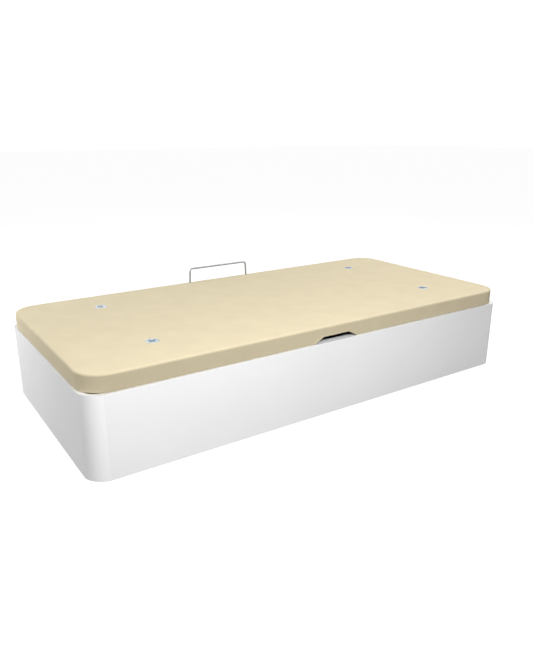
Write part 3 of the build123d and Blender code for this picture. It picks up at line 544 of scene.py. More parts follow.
def circle(centre, radius, count):
    """Points round a circle."""
    angles = [2 * pi * i / count for i in range(count)]
    return [Vector((centre[0] + radius * cos(a), centre[1] + radius * sin(a))) for a in angles]


def ring(build, points, height):
    """Vertices over these places in plan, at one height."""
    return [build.verts.new((p.x, p.y, height)) for p in points]


def join_rings(build, lower, upper):
    """Faces between two closed rings with as many vertices."""
    for i in range(len(lower)):
        j = (i + 1) % len(lower)
        build.faces.new((lower[i], lower[j], upper[j], upper[i]))


def middle_of(places):
    """Middle of a triangle."""
    return sum(places, Vector((0, 0))) / 3


def mesh_piece(name, build):
    """A new mesh object at the origin from a finished bmesh."""
    mesh = bpy.data.meshes.new(name)
    build.to_mesh(mesh)
    build.free()
    piece = bpy.data.objects.new(name, mesh)
    bpy.context.scene.collection.objects.link(piece)
    return piece


def solids_of(node):
    """Each separate solid of a CAD node, as a list of its corner points, always in the same order."""
    build = bmesh.new()
    build.from_mesh(frame["nodes"][node].data)
    bmesh.ops.remove_doubles(build, verts=build.verts, dist=1e-6)
    seen = set()
    solids = []
    for first in build.verts:
        if first in seen:
            continue
        seen.add(first)
        front = [first]
        found = []
        while front:
            vertex = front.pop()
            found.append(vertex.co.copy())
            for edge in vertex.link_edges:
                other = edge.other_vert(vertex)
                if other not in seen:
                    seen.add(other)
                    front.append(other)
        solids.append(found)
    build.free()
    return solids


def box_of(points):
    """Lowest and highest corner of some points."""
    low = Vector([min(p[axis] for p in points) for axis in range(3)])
    high = Vector([max(p[axis] for p in points) for axis in range(3)])
    return low, high


def put_finish(piece, material):
    """Give a piece one material."""
    piece.data.materials.clear()
    piece.data.materials.append(material)


def evaluated_mesh(piece):
    """Replace a piece's mesh by its evaluated one and drop its modifiers."""
    bpy.context.view_layer.update()
    evaluated = piece.evaluated_get(bpy.context.evaluated_depsgraph_get())
    mesh = bpy.data.meshes.new_from_object(evaluated)
    piece.modifiers.clear()
    piece.data = mesh
    return piece


def plan_centres(node):
    """Places of a CAD node's separate solids in plan."""
    places = []
    for points in solids_of(node):
        low, high = box_of(points)
        places.append(((low + high) / 2).xy)
    return places


# Fabric cover

class Cover:
    """The cover's cut and how it folds round the lid."""

    def __init__(self, settings):
        low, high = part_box("fabric_cover")
        self.settings = settings
        self.top, self.bottom = high.z, low.z
        self.half_x, self.half_y = high.x, high.y
        self.corner = settings.corner
        self.fold_x = self.half_x - settings.edge_radius
        self.fold_y = self.half_y - settings.edge_radius
        self.fold_corner = self.corner - settings.edge_radius
        self.arc = settings.edge_radius * pi / 2
        self.side = self.top - self.bottom - settings.edge_radius - settings.hem_radius
        self.turn = settings.hem_radius * pi / 2
        self.hem = settings.hem_width - settings.hem_radius
        self.reach = self.arc + self.side + self.turn + self.hem
        self.vents = plan_centres("vent_rims")
        self.legs = plan_centres("stop_bar_sockets")
        _, liner_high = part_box("grip_liner")
        self.notch_top = liner_high.z - notch_lining

    def side_run(self, height):
        """How far out on the flat cut a height on the lid's side lies."""
        return self.arc + self.top - self.settings.edge_radius - height

    def fold(self, point):
        """Turn a point of the flat cut into its place on the lid and the way its face looks."""
        distance, near, outward = outline_distance(point, self.fold_x, self.fold_y, self.fold_corner)
        radius = self.settings.edge_radius
        hem_radius = self.settings.hem_radius
        flat_out = Vector((outward.x, outward.y, 0))
        base = Vector((near.x, near.y, 0))
        if distance <= 0:
            return Vector((point.x, point.y, self.top)), Vector((0, 0, 1)), distance
        if distance <= self.arc:
            angle = distance / radius
            face = flat_out * sin(angle) + Vector((0, 0, cos(angle)))
            return base + Vector((0, 0, self.top - radius)) + face * radius, face, distance
        run = distance - self.arc
        if run <= self.side:
            return base + flat_out * radius + Vector((0, 0, self.top - radius - run)), flat_out, distance
        run -= self.side
        centre = base + flat_out * (radius - hem_radius) + Vector((0, 0, self.bottom + hem_radius))
        if run <= self.turn:
            angle = run / hem_radius
            face = flat_out * cos(angle) - Vector((0, 0, sin(angle)))
            return centre + face * hem_radius, face, distance
        run -= self.turn
        return centre - flat_out * run - Vector((0, 0, hem_radius)), Vector((0, 0, -1)), distance

    def notch_edge(self, grow):
        """The notch's edge on the flat cut, from the hem's left end over the top and down, grown evenly."""
        slope = atan2(self.notch_top - self.bottom, notch_half_bottom - notch_half_top)
        rise = self.side_run(self.notch_top) - grow
        low = self.side_run(self.bottom) - grow * (1 - cos(slope)) / sin(slope)
        corner = notch_round + grow
        half_top = notch_half_top + grow * tan(slope / 2)
        half_low = notch_half_bottom + grow
        centre = Vector((half_top - corner * tan(slope / 2), rise + corner))
        right = [Vector((half_low, self.reach + notch_past_hem)), Vector((half_low, low))]
        for step in range(7):
            angle = slope * (1 - step / 6)
            right.append(Vector((centre.x + corner * sin(angle), centre.y - corner * cos(angle))))
        top = [Vector((x, rise)) for x in (notch_half_top / 2, 0, -notch_half_top / 2)]
        whole = right + top + [Vector((-p.x, p.y)) for p in reversed(right)]
        spaced = []
        for a, b in zip(whole, whole[1:]):
            parts = max(1, ceil((b - a).length / notch_point_step))
            spaced += [a + (b - a) * i / parts for i in range(parts)]
        spaced.append(whole[-1])
        return [Vector((p.x, -(self.fold_y + p.y))) for p in reversed(spaced)]


def inside_polygon(point, polygon):
    """Whether a point lies inside a polygon."""
    inside = False
    for a, b in zip(polygon, polygon[1:] + polygon[:1]):
        if (a.y > point.y) != (b.y > point.y) and point.x < (b.x - a.x) * (point.y - a.y) / (b.y - a.y) + a.x:
            inside = not inside
    return inside


def path_distance(point, path):
    """Distance from a point to a run of short lines."""
    nearest = 1.0
    for a, b in zip(path, path[1:]):
        line = b - a
        share = min(1, max(0, (point - a).dot(line) / line.length_squared))
        nearest = min(nearest, (a + line * share - point).length)
    return nearest


def row_runs(cover):
    """How far out on the flat cut each row of the folds, the side and the hem lies."""
    rows = [cover.arc * i / fold_rows for i in range(fold_rows + 1)]
    start = cover.arc
    for width, count in ((cover.side, side_rows), (cover.turn, turn_rows), (cover.hem, hem_rows)):
        rows += [start + width * i / count for i in range(1, count + 1)]
        start += width
    return rows


def by_notch(place, notch):
    """Whether a point lies in the notch or so near it that the notch's own rings take its place."""
    if abs(place.x) >= notch_zone or place.y >= 0:
        return False
    return inside_polygon(place, notch) or path_distance(place, notch) < notch_clear


def border_points(cover, notch, first):
    """Rows of points down the cover's border, and the numbers of the last row's points."""
    rows = row_runs(cover)
    stations = rounded_stations(cover.fold_x, cover.fold_y, cover.fold_corner, cover.settings.mesh_step)
    points = []
    outline = []
    for run in rows:
        for near, outward in stations:
            place = near + outward * run
            if run > cover.arc and by_notch(place, notch):
                continue
            if run == rows[-1]:
                outline.append(first + len(points))
            points.append(place)
    return points, outline


def hole_points(cover):
    """Rings of points round the holes for the vents and the mattress stop."""
    points = []
    for vent in cover.vents:
        for grow in vent_rings:
            points += circle(vent, vent_hole_radius + grow, 48)
    for leg in cover.legs:
        for grow in leg_rings:
            points += circle(leg, leg_hole_radius + grow, 20)
    return points


def net_points(cover):
    """A hexagonal net of points over the cover's flat middle, clear of the holes' rings."""
    step = cover.settings.mesh_step
    row_height = step * sqrt(3) / 2
    rows_up = int(cover.fold_y / row_height)
    across = int(cover.fold_x / step)
    vent_clear = vent_hole_radius + 24 * MM
    leg_clear = leg_hole_radius + 9 * MM
    points = []
    for row in range(-rows_up, rows_up + 1):
        for column in range(-across - 1, across + 2):
            place = Vector(((column + 0.5 * (row % 2)) * step, row * row_height))
            inner, _, _ = outline_distance(place, cover.fold_x, cover.fold_y, cover.fold_corner)
            by_vent = any((place - vent).length < vent_clear for vent in cover.vents)
            by_leg = any((place - leg).length < leg_clear for leg in cover.legs)
            if inner <= -0.6 * step and not by_vent and not by_leg:
                points.append(place)
    return points


def cover_points(cover):
    """Points of the flat cut, with the edges along the notch and the numbers of the outline's points."""
    notch = cover.notch_edge(0)
    hem_end = -(cover.fold_y + cover.reach) + 1 * MM
    points = list(notch)
    for grow in notch_rings:
        points += [p for p in cover.notch_edge(grow) if p.y > hem_end]
    border, outline = border_points(cover, notch, len(points))
    points += border + hole_points(cover) + net_points(cover)
    edges = [(i, i + 1) for i in range(len(notch) - 1)]
    return points, edges, outline, notch


def in_opening(point, cover, notch):
    """Whether a triangle's middle lies in the notch or in a hole of the cover."""
    if inside_polygon(point, notch):
        return True
    if any((point - vent).length < vent_hole_radius * 0.995 for vent in cover.vents):
        return True
    return any((point - leg).length < leg_hole_radius * 0.98 for leg in cover.legs)


def cover_sheet(cover):
    """The cover as one flat sheet with its own plan as its UV map."""
    points, edges, outline, notch = cover_points(cover)

    def turn(index):
        return atan2(points[index].x, -points[index].y) % (2 * pi)

    ends = sorted((0, len(edges)), key=turn)
    chain = [ends[0]] + sorted(outline, key=turn) + [ends[1]]
    edges += list(zip(chain, chain[1:]))
    made, _, faces, _, _, _ = geometry.delaunay_2d_cdt(points, edges, [], 1, 1e-7)
    build = bmesh.new()
    vertices = [build.verts.new((p.x, p.y, 0)) for p in made]
    for face in faces:
        if not in_opening(middle_of([made[i] for i in face]), cover, notch):
            build.faces.new([vertices[i] for i in face])
    loose = [v for v in build.verts if not v.link_faces]
    bmesh.ops.delete(build, geom=loose, context="VERTS")
    flat_area = sum(face.calc_area() for face in build.faces)
    uv = build.loops.layers.uv.new("flat_cut")
    for face in build.faces:
        if face.normal.z < 0:
            face.normal_flip()
        face.smooth = True
        for loop in face.loops:
            loop[uv].uv = loop.vert.co.xy
    return build, flat_area, notch


def soft_lift(cover, flat, run, notch):
    """How far a point of the cloth stands off its smooth shape: waves, dimples, hem and bound edge."""
    settings = cover.settings
    wave = noise.noise(Vector((flat.x * 7, flat.y * 7, settings.seed)))
    wave += 0.5 * noise.noise(Vector((flat.x * 19, flat.y * 19, settings.seed + 5)))
    calm = 1.0 if run < 0 else max(0.25, 1 - run / cover.arc)
    lift = settings.sway * (wave * calm - 0.6)
    for vent in cover.vents:
        away = (flat - vent).length - vent_hole_radius
        if away < dimple_reach:
            lift -= dimple_depth * (1 - away / dimple_reach) ** 2
    if run > cover.arc + cover.side + cover.turn * 0.5:
        lift = -hem_pull
    if run > 0.5 * cover.arc and abs(flat.x) < notch_zone and flat.y < 0:
        away = path_distance(flat, notch)
        if away < settings.bead_width:
            share = (away / settings.bead_width) * 2 - 1
            lift += settings.bead * sqrt(max(0, 1 - share * share))
    return lift


def painted_shade_factor(cover, flat, face, run):
    """Painted shade of the cloth: darker over the edge, most on the long sides towards the left end."""
    turned = min(1, max(0, run / cover.arc))
    long_side = abs(face.y) if run > 0 else 0
    along = (flat.x + cover.half_x) / (2 * cover.half_x)
    return 1 - turned * (painted_shade_fold + long_side * (painted_shade_long_side - painted_shade_fade * along))


def shape_cover(cover, build, notch):
    """Fold the flat sheet round the lid, give it its soft shape, and store the painted shade of its sides."""
    nap = build.verts.layers.float.new("nap")
    for vertex in build.verts:
        flat = vertex.co.xy
        place, face, run = cover.fold(flat)
        vertex.co = place + face * soft_lift(cover, flat, run, notch)
        # Each vertex keeps its painted shade, which darkens the cloth's colour over the edge and on the sides
        vertex[nap] = painted_shade_factor(cover, flat, face, run)


class BED_OT_fabric_cover(bpy.types.Operator):
    """Make the stretched fabric cover from its flat cut"""
    bl_idname = "bed.fabric_cover"
    bl_label = "Fabric cover"

    def execute(self, context):
        settings = context.scene.bed_cover
        cover = Cover(settings)
        build, flat_area, notch = cover_sheet(cover)
        if len(build.faces) < 1000:
            raise RuntimeError("the cover's cut has too few faces")
        shape_cover(cover, build, notch)
        piece = mesh_piece("stretched_cover", build)
        thin = piece.vertex_groups.new(name="thickness")
        hem_line = cover.bottom + settings.hem_radius
        for vertex in piece.data.vertices:
            low = vertex.co.z < hem_line
            thin.add([vertex.index], hem_squeeze if low else 1.0, "REPLACE")
        solid = piece.modifiers.new("cloth", "SOLIDIFY")
        solid.thickness = settings.cloth
        solid.offset = -1
        solid.use_even_offset = False
        solid.vertex_group = "thickness"
        put_finish(piece, spacer_mesh(context.scene.bed_finish))
        evaluated_mesh(piece)
        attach(piece, "lid")
        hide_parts("fabric_cover")
        return {"FINISHED"}


# Padding

def foam_sides(build, low, high):
    """The pad's sides and its rounded top edge, and its lowest and highest rings."""
    stations = rounded_stations(high.x - foam_inset, high.y - foam_inset, foam_corner, foam_point_step)
    shoulder = high.z - foam_edge_radius
    profile = [(0, low.z), (0, low.z + (shoulder - low.z) / 2), (0, shoulder)]
    for turn in (22, 45, 67, 90):
        angle = radians(turn)
        profile.append((foam_edge_radius * (cos(angle) - 1), shoulder + foam_edge_radius * sin(angle)))
    rings = []
    for out, height in profile:
        rings.append(ring(build, [near + outward * out for near, outward in stations], height))
    for lower, upper in zip(rings, rings[1:]):
        join_rings(build, lower, upper)
    return rings[0], rings[-1]


def foam_face(build, loops, holes):
    """A flat face of the pad between its edge and its holes."""
    flat = []
    edges = []
    owners = []
    for loop in loops:
        start = len(flat)
        flat += [v.co.xy for v in loop]
        owners += loop
        edges += [(start + i, start + (i + 1) % len(loop)) for i in range(len(loop))]
    made, _, faces, originals, _, _ = geometry.delaunay_2d_cdt(flat, edges, [], 1, 1e-7)
    for face in faces:
        middle = middle_of([made[i] for i in face])
        if all((middle - centre).length >= size * 0.98 for centre, size, _ in holes):
            build.faces.new([owners[originals[i][0]] for i in face])


class BED_OT_foam_pad(bpy.types.Operator):
    """Make the foam pad under the cover"""
    bl_idname = "bed.foam_pad"
    bl_label = "Foam pad"

    def execute(self, context):
        low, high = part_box("foam_pad")
        holes = [(vent, foam_vent_radius, 32) for vent in plan_centres("vent_rims")]
        holes += [(leg, leg_hole_radius, 16) for leg in plan_centres("stop_bar_sockets")]
        build = bmesh.new()
        lowest, highest = foam_sides(build, low, high)
        lower_loops = [lowest]
        upper_loops = [highest]
        for centre, size, count in holes:
            lower_loops.append(ring(build, circle(centre, size, count), low.z))
            upper_loops.append(ring(build, circle(centre, size, count), high.z))
            join_rings(build, upper_loops[-1], lower_loops[-1])
        foam_face(build, lower_loops, holes)
        foam_face(build, upper_loops, holes)
        if len(build.faces) < 500:
            raise RuntimeError("the foam pad has too few faces")
        bmesh.ops.recalc_face_normals(build, faces=build.faces)
        for face in build.faces:
            face.smooth = abs(face.normal.z) < 0.99
        piece = mesh_piece("padding", build)
        put_finish(piece, padding_foam())
        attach(piece, "lid")
        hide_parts("foam_pad")
        return {"FINISHED"}


# Fastenings made by geometry nodes

def new_tree(name, sizes):
    """A geometry tree with a Geometry input, named sizes, and a Geometry output."""
    tree = bpy.data.node_groups.new(name, "GeometryNodeTree")
    tree.interface.new_socket("Geometry", in_out="INPUT", socket_type="NodeSocketGeometry")
    for size in sizes:
        tree.interface.new_socket(size, in_out="INPUT", socket_type="NodeSocketFloat")
    tree.interface.new_socket("Geometry", in_out="OUTPUT", socket_type="NodeSocketGeometry")
    return tree


def run_tree(piece, tree, sizes):
    """Run a geometry tree on a piece with these sizes and keep the result as a plain mesh."""
    modifier = piece.modifiers.new(tree.name, "NODES")
    modifier.node_group = tree
    names = {item.name: item.identifier for item in tree.interface.items_tree if item.in_out == "INPUT"}
    for name, value in sizes.items():
        modifier[names[name]] = value
    return evaluated_mesh(piece)


def close_tree(tree, instances, material):
    """Make instances real, give them their material and end the tree with them."""
    real = add_node(tree, "GeometryNodeRealizeInstances", links={"Geometry": instances.outputs["Instances"]})
    painted = add_node(tree, "GeometryNodeSetMaterial", {"Material": material},
                       {"Geometry": real.outputs["Geometry"]})
    add_node(tree, "NodeGroupOutput", links={"Geometry": painted.outputs["Geometry"]})
    return tree


def staple_tree(material):
    """Staples spaced along a closed line, but for the notch, each a flat crown of wire along it."""
    tree = new_tree("hem_staples", ("Pitch", "Crown", "Wire", "Notch half width"))
    given = add_node(tree, "NodeGroupInput")
    curve = add_node(tree, "GeometryNodeMeshToCurve", links={"Mesh": given.outputs["Geometry"]})
    places = add_node(tree, "GeometryNodeCurveToPoints", {"mode": "LENGTH"},
                      {"Curve": curve.outputs["Curve"], "Length": given.outputs["Pitch"]})
    position = add_node(tree, "GeometryNodeInputPosition")
    spot = add_node(tree, "ShaderNodeSeparateXYZ", links={"Vector": position.outputs["Position"]})
    across = add_node(tree, "ShaderNodeMath", {"operation": "ABSOLUTE"}, {0: spot.outputs["X"]})
    near = add_node(tree, "FunctionNodeCompare", {"operation": "LESS_THAN"},
                    {0: across.outputs["Value"], 1: given.outputs["Notch half width"]})
    front = add_node(tree, "FunctionNodeCompare", {"operation": "LESS_THAN", 1: 0.0}, {0: spot.outputs["Y"]})
    in_notch = add_node(tree, "FunctionNodeBooleanMath", {"operation": "AND"},
                        {0: near.outputs["Result"], 1: front.outputs["Result"]})
    kept = add_node(tree, "GeometryNodeDeleteGeometry", {"domain": "POINT"},
                    {"Geometry": places.outputs["Points"], "Selection": in_notch.outputs["Boolean"]})
    sizes = {"X": given.outputs["Crown"], "Y": given.outputs["Wire"], "Z": given.outputs["Wire"]}
    size = add_node(tree, "ShaderNodeCombineXYZ", links=sizes)
    crown = add_node(tree, "GeometryNodeMeshCube", {"Vertices X": 5, "Vertices Y": 2, "Vertices Z": 2},
                     {"Size": size.outputs["Vector"]})
    rotated = add_node(tree, "FunctionNodeAlignRotationToVector", {"axis": "X"},
                       {"Vector": places.outputs["Tangent"]})
    instances = add_node(tree, "GeometryNodeInstanceOnPoints",
                         links={"Points": kept.outputs["Geometry"], "Instance": crown.outputs["Mesh"],
                                "Rotation": rotated.outputs["Rotation"]})
    return close_tree(tree, instances, material)


class BED_OT_hem_staples(bpy.types.Operator):
    """Staple the cover's hem to the lid from below"""
    bl_idname = "bed.hem_staples"
    bl_label = "Hem staples"

    def execute(self, context):
        settings = context.scene.bed_fastening
        low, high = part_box("fabric_cover")
        inset = settings.staple_inset
        corner = context.scene.bed_cover.corner - inset
        stations = rounded_stations(high.x - inset, high.y - inset, corner, staple_line_step)
        build = bmesh.new()
        line = ring(build, [near for near, _ in stations], low.z + staple_sink)
        for i in range(len(line)):
            build.edges.new((line[i], line[(i + 1) % len(line)]))
        piece = mesh_piece("hem_staples", build)
        metal = screw_steel()
        sizes = {"Pitch": settings.staple_pitch, "Crown": settings.staple_crown,
                 "Wire": settings.staple_wire, "Notch half width": notch_zone}
        run_tree(piece, staple_tree(metal), sizes)
        if len(piece.data.polygons) < 100:
            raise RuntimeError("no staples were made")
        put_finish(piece, metal)
        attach(piece, "lid")
        return {"FINISHED"}


def screw_profile(length, shank, head, recess):
    """Radius and height of each ring of a pan-head screw, from its point over the thread to the recess."""
    start = -length + 2 * shank
    profile = [(0.0001 * shank, -length), (0.5 * shank, start)]
    for turn in range(int((length - 3 * shank) / thread_pitch)):
        level = start + turn * thread_pitch
        profile += [(0.75 * shank, level + 0.3 * MM), (shank, level + 0.7 * MM)]
        profile.append((0.75 * shank, level + 1.1 * MM))
    profile += [(shank, -0.2 * MM), (shank, 0.0), (0.96 * head, 0.0), (head, 0.15 * screw_head_height)]
    for turn in (10, 30, 50):
        angle = radians(turn)
        profile.append((head * cos(angle), screw_head_height * (0.4 + 0.6 * sin(angle))))
    profile.append((recess, 0.985 * screw_head_height))
    return profile


def cross_outline(mouth, wing):
    """Points round a cross whose arms reach as far as the mouth and are two wings wide."""
    points = []
    for i in range(screw_sides):
        angle = 2 * pi * i / screw_sides
        turned = angle % (pi / 2)
        aside = sin(min(turned, pi / 2 - turned))
        reach = mouth if aside * mouth <= wing * 1.01 else min(mouth, wing / aside)
        points.append(Vector((cos(angle), sin(angle))) * reach)
    return points


def pan_screw(length, shank, head):
    """A pan-head screw along +Z, its head's seat at the origin: domed, with a cross recess and a thread."""
    build = bmesh.new()
    recess = 0.55 * head
    rings = [ring(build, circle((0, 0), radius, screw_sides), level)
             for radius, level in screw_profile(length, shank, head, recess)]
    for lower, upper in zip(rings, rings[1:]):
        join_rings(build, lower, upper)
    build.faces.new(list(reversed(rings[0])))
    cross = cross_outline(0.92 * recess, 0.16 * head)
    mouth = ring(build, cross, 0.98 * screw_head_height)
    floor = ring(build, [point * 0.7 for point in cross], 0.25 * screw_head_height)
    join_rings(build, rings[-1], mouth)
    join_rings(build, mouth, floor)
    build.faces.new(floor)
    bmesh.ops.recalc_face_normals(build, faces=build.faces)
    mesh = bpy.data.meshes.new("pan_screw")
    build.to_mesh(mesh)
    build.free()
    return mesh


def screw_tree(screw, material):
    """One screw on each point, turned to the point's axis and then about it."""
    tree = new_tree("pan_screws", ("Scale",))
    given = add_node(tree, "NodeGroupInput")
    source = add_node(tree, "GeometryNodeObjectInfo", {"Object": screw})
    axis = add_node(tree, "GeometryNodeInputNamedAttribute", {"data_type": "FLOAT_VECTOR", "Name": "axis"})
    upright = add_node(tree, "FunctionNodeAlignRotationToVector", {"axis": "Z"},
                       {"Vector": axis.outputs["Attribute"]})
    spin = add_node(tree, "FunctionNodeRandomValue", {"data_type": "FLOAT", "Seed": 11})
    angle = add_node(tree, "ShaderNodeMath", {"operation": "MULTIPLY", 1: 2 * pi}, {0: spin.outputs[1]})
    twist = add_node(tree, "FunctionNodeAxisAngleToRotation", {"Axis": (0, 0, 1)},
                     {"Angle": angle.outputs["Value"]})
    turned = add_node(tree, "FunctionNodeRotateRotation", {"rotation_space": "LOCAL"},
                      {"Rotation": upright.outputs["Rotation"], "Rotate By": twist.outputs["Rotation"]})
    instances = add_node(tree, "GeometryNodeInstanceOnPoints",
                         links={"Points": given.outputs["Geometry"], "Instance": source.outputs["Geometry"],
                                "Rotation": turned.outputs["Rotation"], "Scale": given.outputs["Scale"]})
    return close_tree(tree, instances, material)


def screw_seats(node):
    """Seat, axis towards the head, length, shank radius and head radius of each screw of a CAD node."""
    seats = []
    for points in solids_of(node):
        low, high = box_of(points)
        size = high - low
        along = max(range(3), key=lambda axis: size[axis])
        side = (along + 1) % 3
        middle = (low + high) / 2
        at_low = max(abs(p[side] - middle[side]) for p in points if p[along] < low[along] + 1e-5)
        at_high = max(abs(p[side] - middle[side]) for p in points if p[along] > high[along] - 1e-5)
        head_up = at_high > at_low
        axis = Vector((0, 0, 0))
        axis[along] = 1 if head_up else -1
        tip = middle.copy()
        tip[along] = high[along] if head_up else low[along]
        seats.append((tip - axis * screw_head_height, axis, size[along] - screw_head_height,
                      min(at_low, at_high), max(at_low, at_high)))
    return seats


class BED_OT_screws(bpy.types.Operator):
    """Put cross-recess screws in place of the plain ones"""
    bl_idname = "bed.screws"
    bl_label = "Screws"

    def execute(self, context):
        metal = screw_steel()
        for node in ("hinge_plate_screws", "strut_anchor_screws", "corner_bracket_screws", "top_rail_screws"):
            seats = screw_seats(node)
            if not seats:
                raise RuntimeError(f"{node} has no screws")
            screw = bpy.data.objects.new("one_screw", pan_screw(*seats[0][2:]))
            context.scene.collection.objects.link(screw)
            mesh = bpy.data.meshes.new(node.replace("screws", "pan_screws"))
            mesh.from_pydata([seat for seat, *_ in seats], [], [])
            axes = mesh.attributes.new("axis", "FLOAT_VECTOR", "POINT")
            for index, (_, axis, *_) in enumerate(seats):
                axes.data[index].vector = axis
            piece = bpy.data.objects.new(mesh.name, mesh)
            context.scene.collection.objects.link(piece)
            run_tree(piece, screw_tree(screw, metal), {"Scale": 1.0})
            bpy.data.objects.remove(screw)
            put_finish(piece, metal)
            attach(piece, "base")
            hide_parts(node)
        return {"FINISHED"}


# Finishes of the CAD pieces

class BED_OT_finishes(bpy.types.Operator):
    """Give every CAD piece its finish"""
    bl_idname = "bed.finishes"
    bl_label = "Finishes"

    def execute(self, context):
        slots = {part["node"]: part["material_slot"] for part in frame["record"]["subparts"]}
        finishes = {
            "white_laminate": white_skin("white_melamine_laminate", "F1F1F2", "F5F5F5"),
            "raw_board": raw_chipboard(),
            "zinc_steel": zinc_plate(),
            "arm_steel": powder_coat("grey_powder_coat", "4A4C4F", "54565A", 0.38),
            "tube_steel": powder_coat("silver_grey_powder_coat", "8C8F92", "989B9E", 0.42),
            "screw_steel": screw_steel(),
            "strut_paint": strut_paint(),
            "chrome_rod": ground_rod(),
            "vent_metal": vent_metal(),
            "clear_bumper": clear_rubber(),
            "black_plastic": moulded_plastic(),
        }
        pine_along_x = planed_pine("pine_along_the_bed", (0.06, 1, 1))
        pine_along_y = planed_pine("pine_across_the_bed", (1, 0.06, 1))
        # The posts get a lighter copy of the white skin: painted light that sets them apart from the panels
        painted_light_post_white = white_skin("white_post_foil", "F6F6F7", "FAFAFA")
        special = {node: painted_light_post_white for node in frame["nodes"] if node.startswith("corner_post")}
        special["floor_joists"] = pine_along_y
        special["floor_cleats"] = pine_along_x
        special["mattress_stop_bar"] = nickel_wire()
        for node, piece in frame["nodes"].items():
            if piece.hide_render:
                continue
            material = special.get(node) or finishes.get(slots[node])
            if material is None:
                raise RuntimeError(f"{node} has no finish")
            put_finish(piece, material)
        return {"FINISHED"}


# Studio

def studio_lamp(name, place, aim, size, power):
    """A soft square lamp that looks at a point."""
    data = bpy.data.lights.new(name, "AREA")
    data.shape = "SQUARE"
    data.size = size
    data.energy = power
    lamp = bpy.data.objects.new(name, data)
    lamp.location = place
    lamp.rotation_euler = (Vector(aim) - Vector(place)).to_track_quat("-Z", "Y").to_euler()
    lamp.visible_camera = False
    bpy.context.scene.collection.objects.link(lamp)


def seen_white(tree):
    """One where the floor or the surround is seen straight, in a reflection or through something clear."""
    path = add_node(tree, "ShaderNodeLightPath")
    straight = add_node(tree, "ShaderNodeMath", {"operation": "MAXIMUM"},
                        {0: path.outputs["Is Camera Ray"], 1: path.outputs["Is Glossy Ray"]})
    return add_node(tree, "ShaderNodeMath", {"operation": "MAXIMUM"},
                    {0: straight.outputs["Value"], 1: path.outputs["Is Transmission Ray"]}).outputs["Value"]


def studio_floor():
    """Pale paper floor: nearly white where it is seen, and the object still darkens it a little."""
    material, tree = new_material("pale_studio_paper")
    point = object_point(tree)
    fibre = noise_value(tree, point, 0.002)
    paper = add_node(tree, "ShaderNodeBsdfDiffuse",
                     links={"Color": two_tones(tree, fibre, "8E8E8E", "949494")})
    glow = add_node(tree, "ShaderNodeEmission", {"Color": (1, 1, 1, 1)},
                    {"Strength": spread(tree, seen_white(tree), 0.0, 0.95)})
    both = add_node(tree, "ShaderNodeAddShader",
                    links={0: paper.outputs["BSDF"], 1: glow.outputs["Emission"]})
    add_node(tree, "ShaderNodeOutputMaterial", links={"Surface": both.outputs["Shader"]})
    build = bmesh.new()
    bmesh.ops.create_grid(build, x_segments=8, y_segments=8, size=30)
    floor = mesh_piece("studio_floor", build)
    put_finish(floor, material)
    floor.location.z = -0.5 * MM


def studio_surround(strength):
    """Even light from all round that is seen as white."""
    world = bpy.data.worlds.new("studio_surround")
    bpy.context.scene.world = world
    world.use_nodes = True
    tree = world.node_tree
    tree.nodes.clear()
    light = add_node(tree, "ShaderNodeBackground", {"Color": (1, 1, 1, 1)},
                     {"Strength": spread(tree, seen_white(tree), strength, 1.0)})
    add_node(tree, "ShaderNodeOutputWorld", links={"Surface": light.outputs["Background"]})


def studio_camera():
    """The photograph's view."""
    data = bpy.data.cameras.new("camera")
    data.sensor_width = 36
    data.lens = 33.53
    data.clip_start, data.clip_end = 0.05, 120
    camera = bpy.data.objects.new("camera", data)
    camera.location = (-1.41434, -2.08853, 1.02628)
    turn, tilt = radians(-33.856), radians(18.146)
    back = Vector((sin(turn) * cos(tilt), -cos(turn) * cos(tilt), sin(tilt)))
    camera.rotation_mode = "QUATERNION"
    camera.rotation_quaternion = (-back).to_track_quat("-Z", "Y")
    bpy.context.scene.collection.objects.link(camera)
    bpy.context.scene.camera = camera


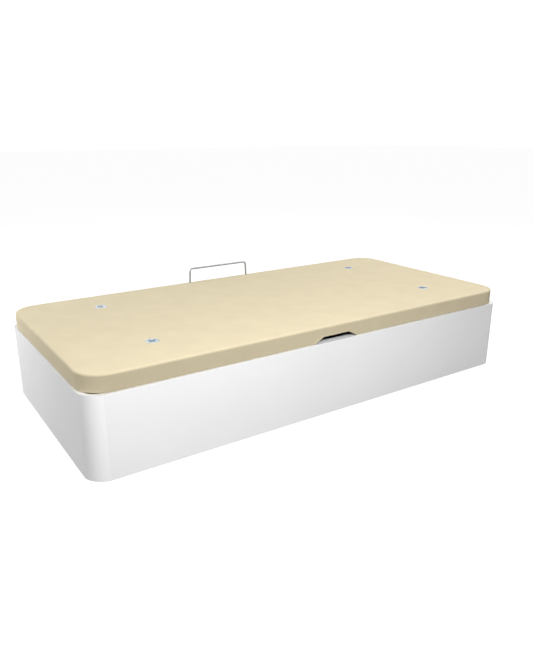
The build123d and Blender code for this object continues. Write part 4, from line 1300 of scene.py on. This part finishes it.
def studio_lamps(settings):
    """Name, place, size and power of each lamp."""
    return (
        ("far_lamp", (2.2, 0.4, 2.8), 1.6, settings.far),
        ("front_lamp", (-1.8, -3.6, 1.7), 1.8, settings.front),
        ("corner_lamp", (-1.5, -1.9, 1.5), 0.8, settings.corner),
        ("long_side_lamp", (-0.2, -1.9, 1.6), 0.9, settings.long_side),
        ("end_lamp", (-2.0, 1.3, 1.4), 0.7, settings.end),
        ("low_end_lamp", (-1.8, 1.2, 0.5), 0.7, settings.low_end),
        ("back_lamp", (0.0, 3.4, 2.6), 1.8, settings.back),
    )


class BED_OT_studio(bpy.types.Operator):
    """Set up the floor, the light and the camera"""
    bl_idname = "bed.studio"
    bl_label = "Studio"

    def execute(self, context):
        settings = context.scene.bed_studio
        studio_floor()
        studio_surround(settings.surround)
        for name, place, size, power in studio_lamps(settings):
            studio_lamp(name, place, (0, 0, 0.2), size, power)
        studio_camera()
        context.scene.view_settings.view_transform = "Standard"
        return {"FINISHED"}


class BED_PT_panel(bpy.types.Panel):
    """Steps and settings of the bed base"""
    bl_idname = "BED_PT_panel"
    bl_label = "Bed base"
    bl_space_type = "VIEW_3D"
    bl_region_type = "UI"
    bl_category = "Bed base"

    def draw(self, context):
        for operator in OPERATORS:
            self.layout.operator(operator.bl_idname)
        for name in SETTINGS:
            group = getattr(context.scene, name)
            column = self.layout.column()
            for setting in group.__annotations__:
                column.prop(group, setting)


SETTINGS = {
    "bed_cover": CoverSettings,
    "bed_finish": FinishSettings,
    "bed_fastening": FasteningSettings,
    "bed_studio": StudioSettings,
}
OPERATORS = (BED_OT_foam_pad, BED_OT_fabric_cover, BED_OT_hem_staples, BED_OT_screws,
             BED_OT_finishes, BED_OT_studio)


def register():
    """Register the settings, the operators and the panel."""
    for name, group in SETTINGS.items():
        bpy.utils.register_class(group)
        setattr(bpy.types.Scene, name, PointerProperty(type=group))
    for operator in OPERATORS:
        bpy.utils.register_class(operator)
    bpy.utils.register_class(BED_PT_panel)


def unregister():
    """Take back what register did."""
    bpy.utils.unregister_class(BED_PT_panel)
    for operator in reversed(OPERATORS):
        bpy.utils.unregister_class(operator)
    for name, group in SETTINGS.items():
        delattr(bpy.types.Scene, name)
        bpy.utils.unregister_class(group)


def main():
    """Build every piece in order."""
    register()
    bpy.ops.bed.foam_pad()
    bpy.ops.bed.fabric_cover()
    bpy.ops.bed.hem_staples()
    bpy.ops.bed.screws()
    bpy.ops.bed.finishes()
    bpy.ops.bed.studio()


if __name__ == "__main__":
    main()
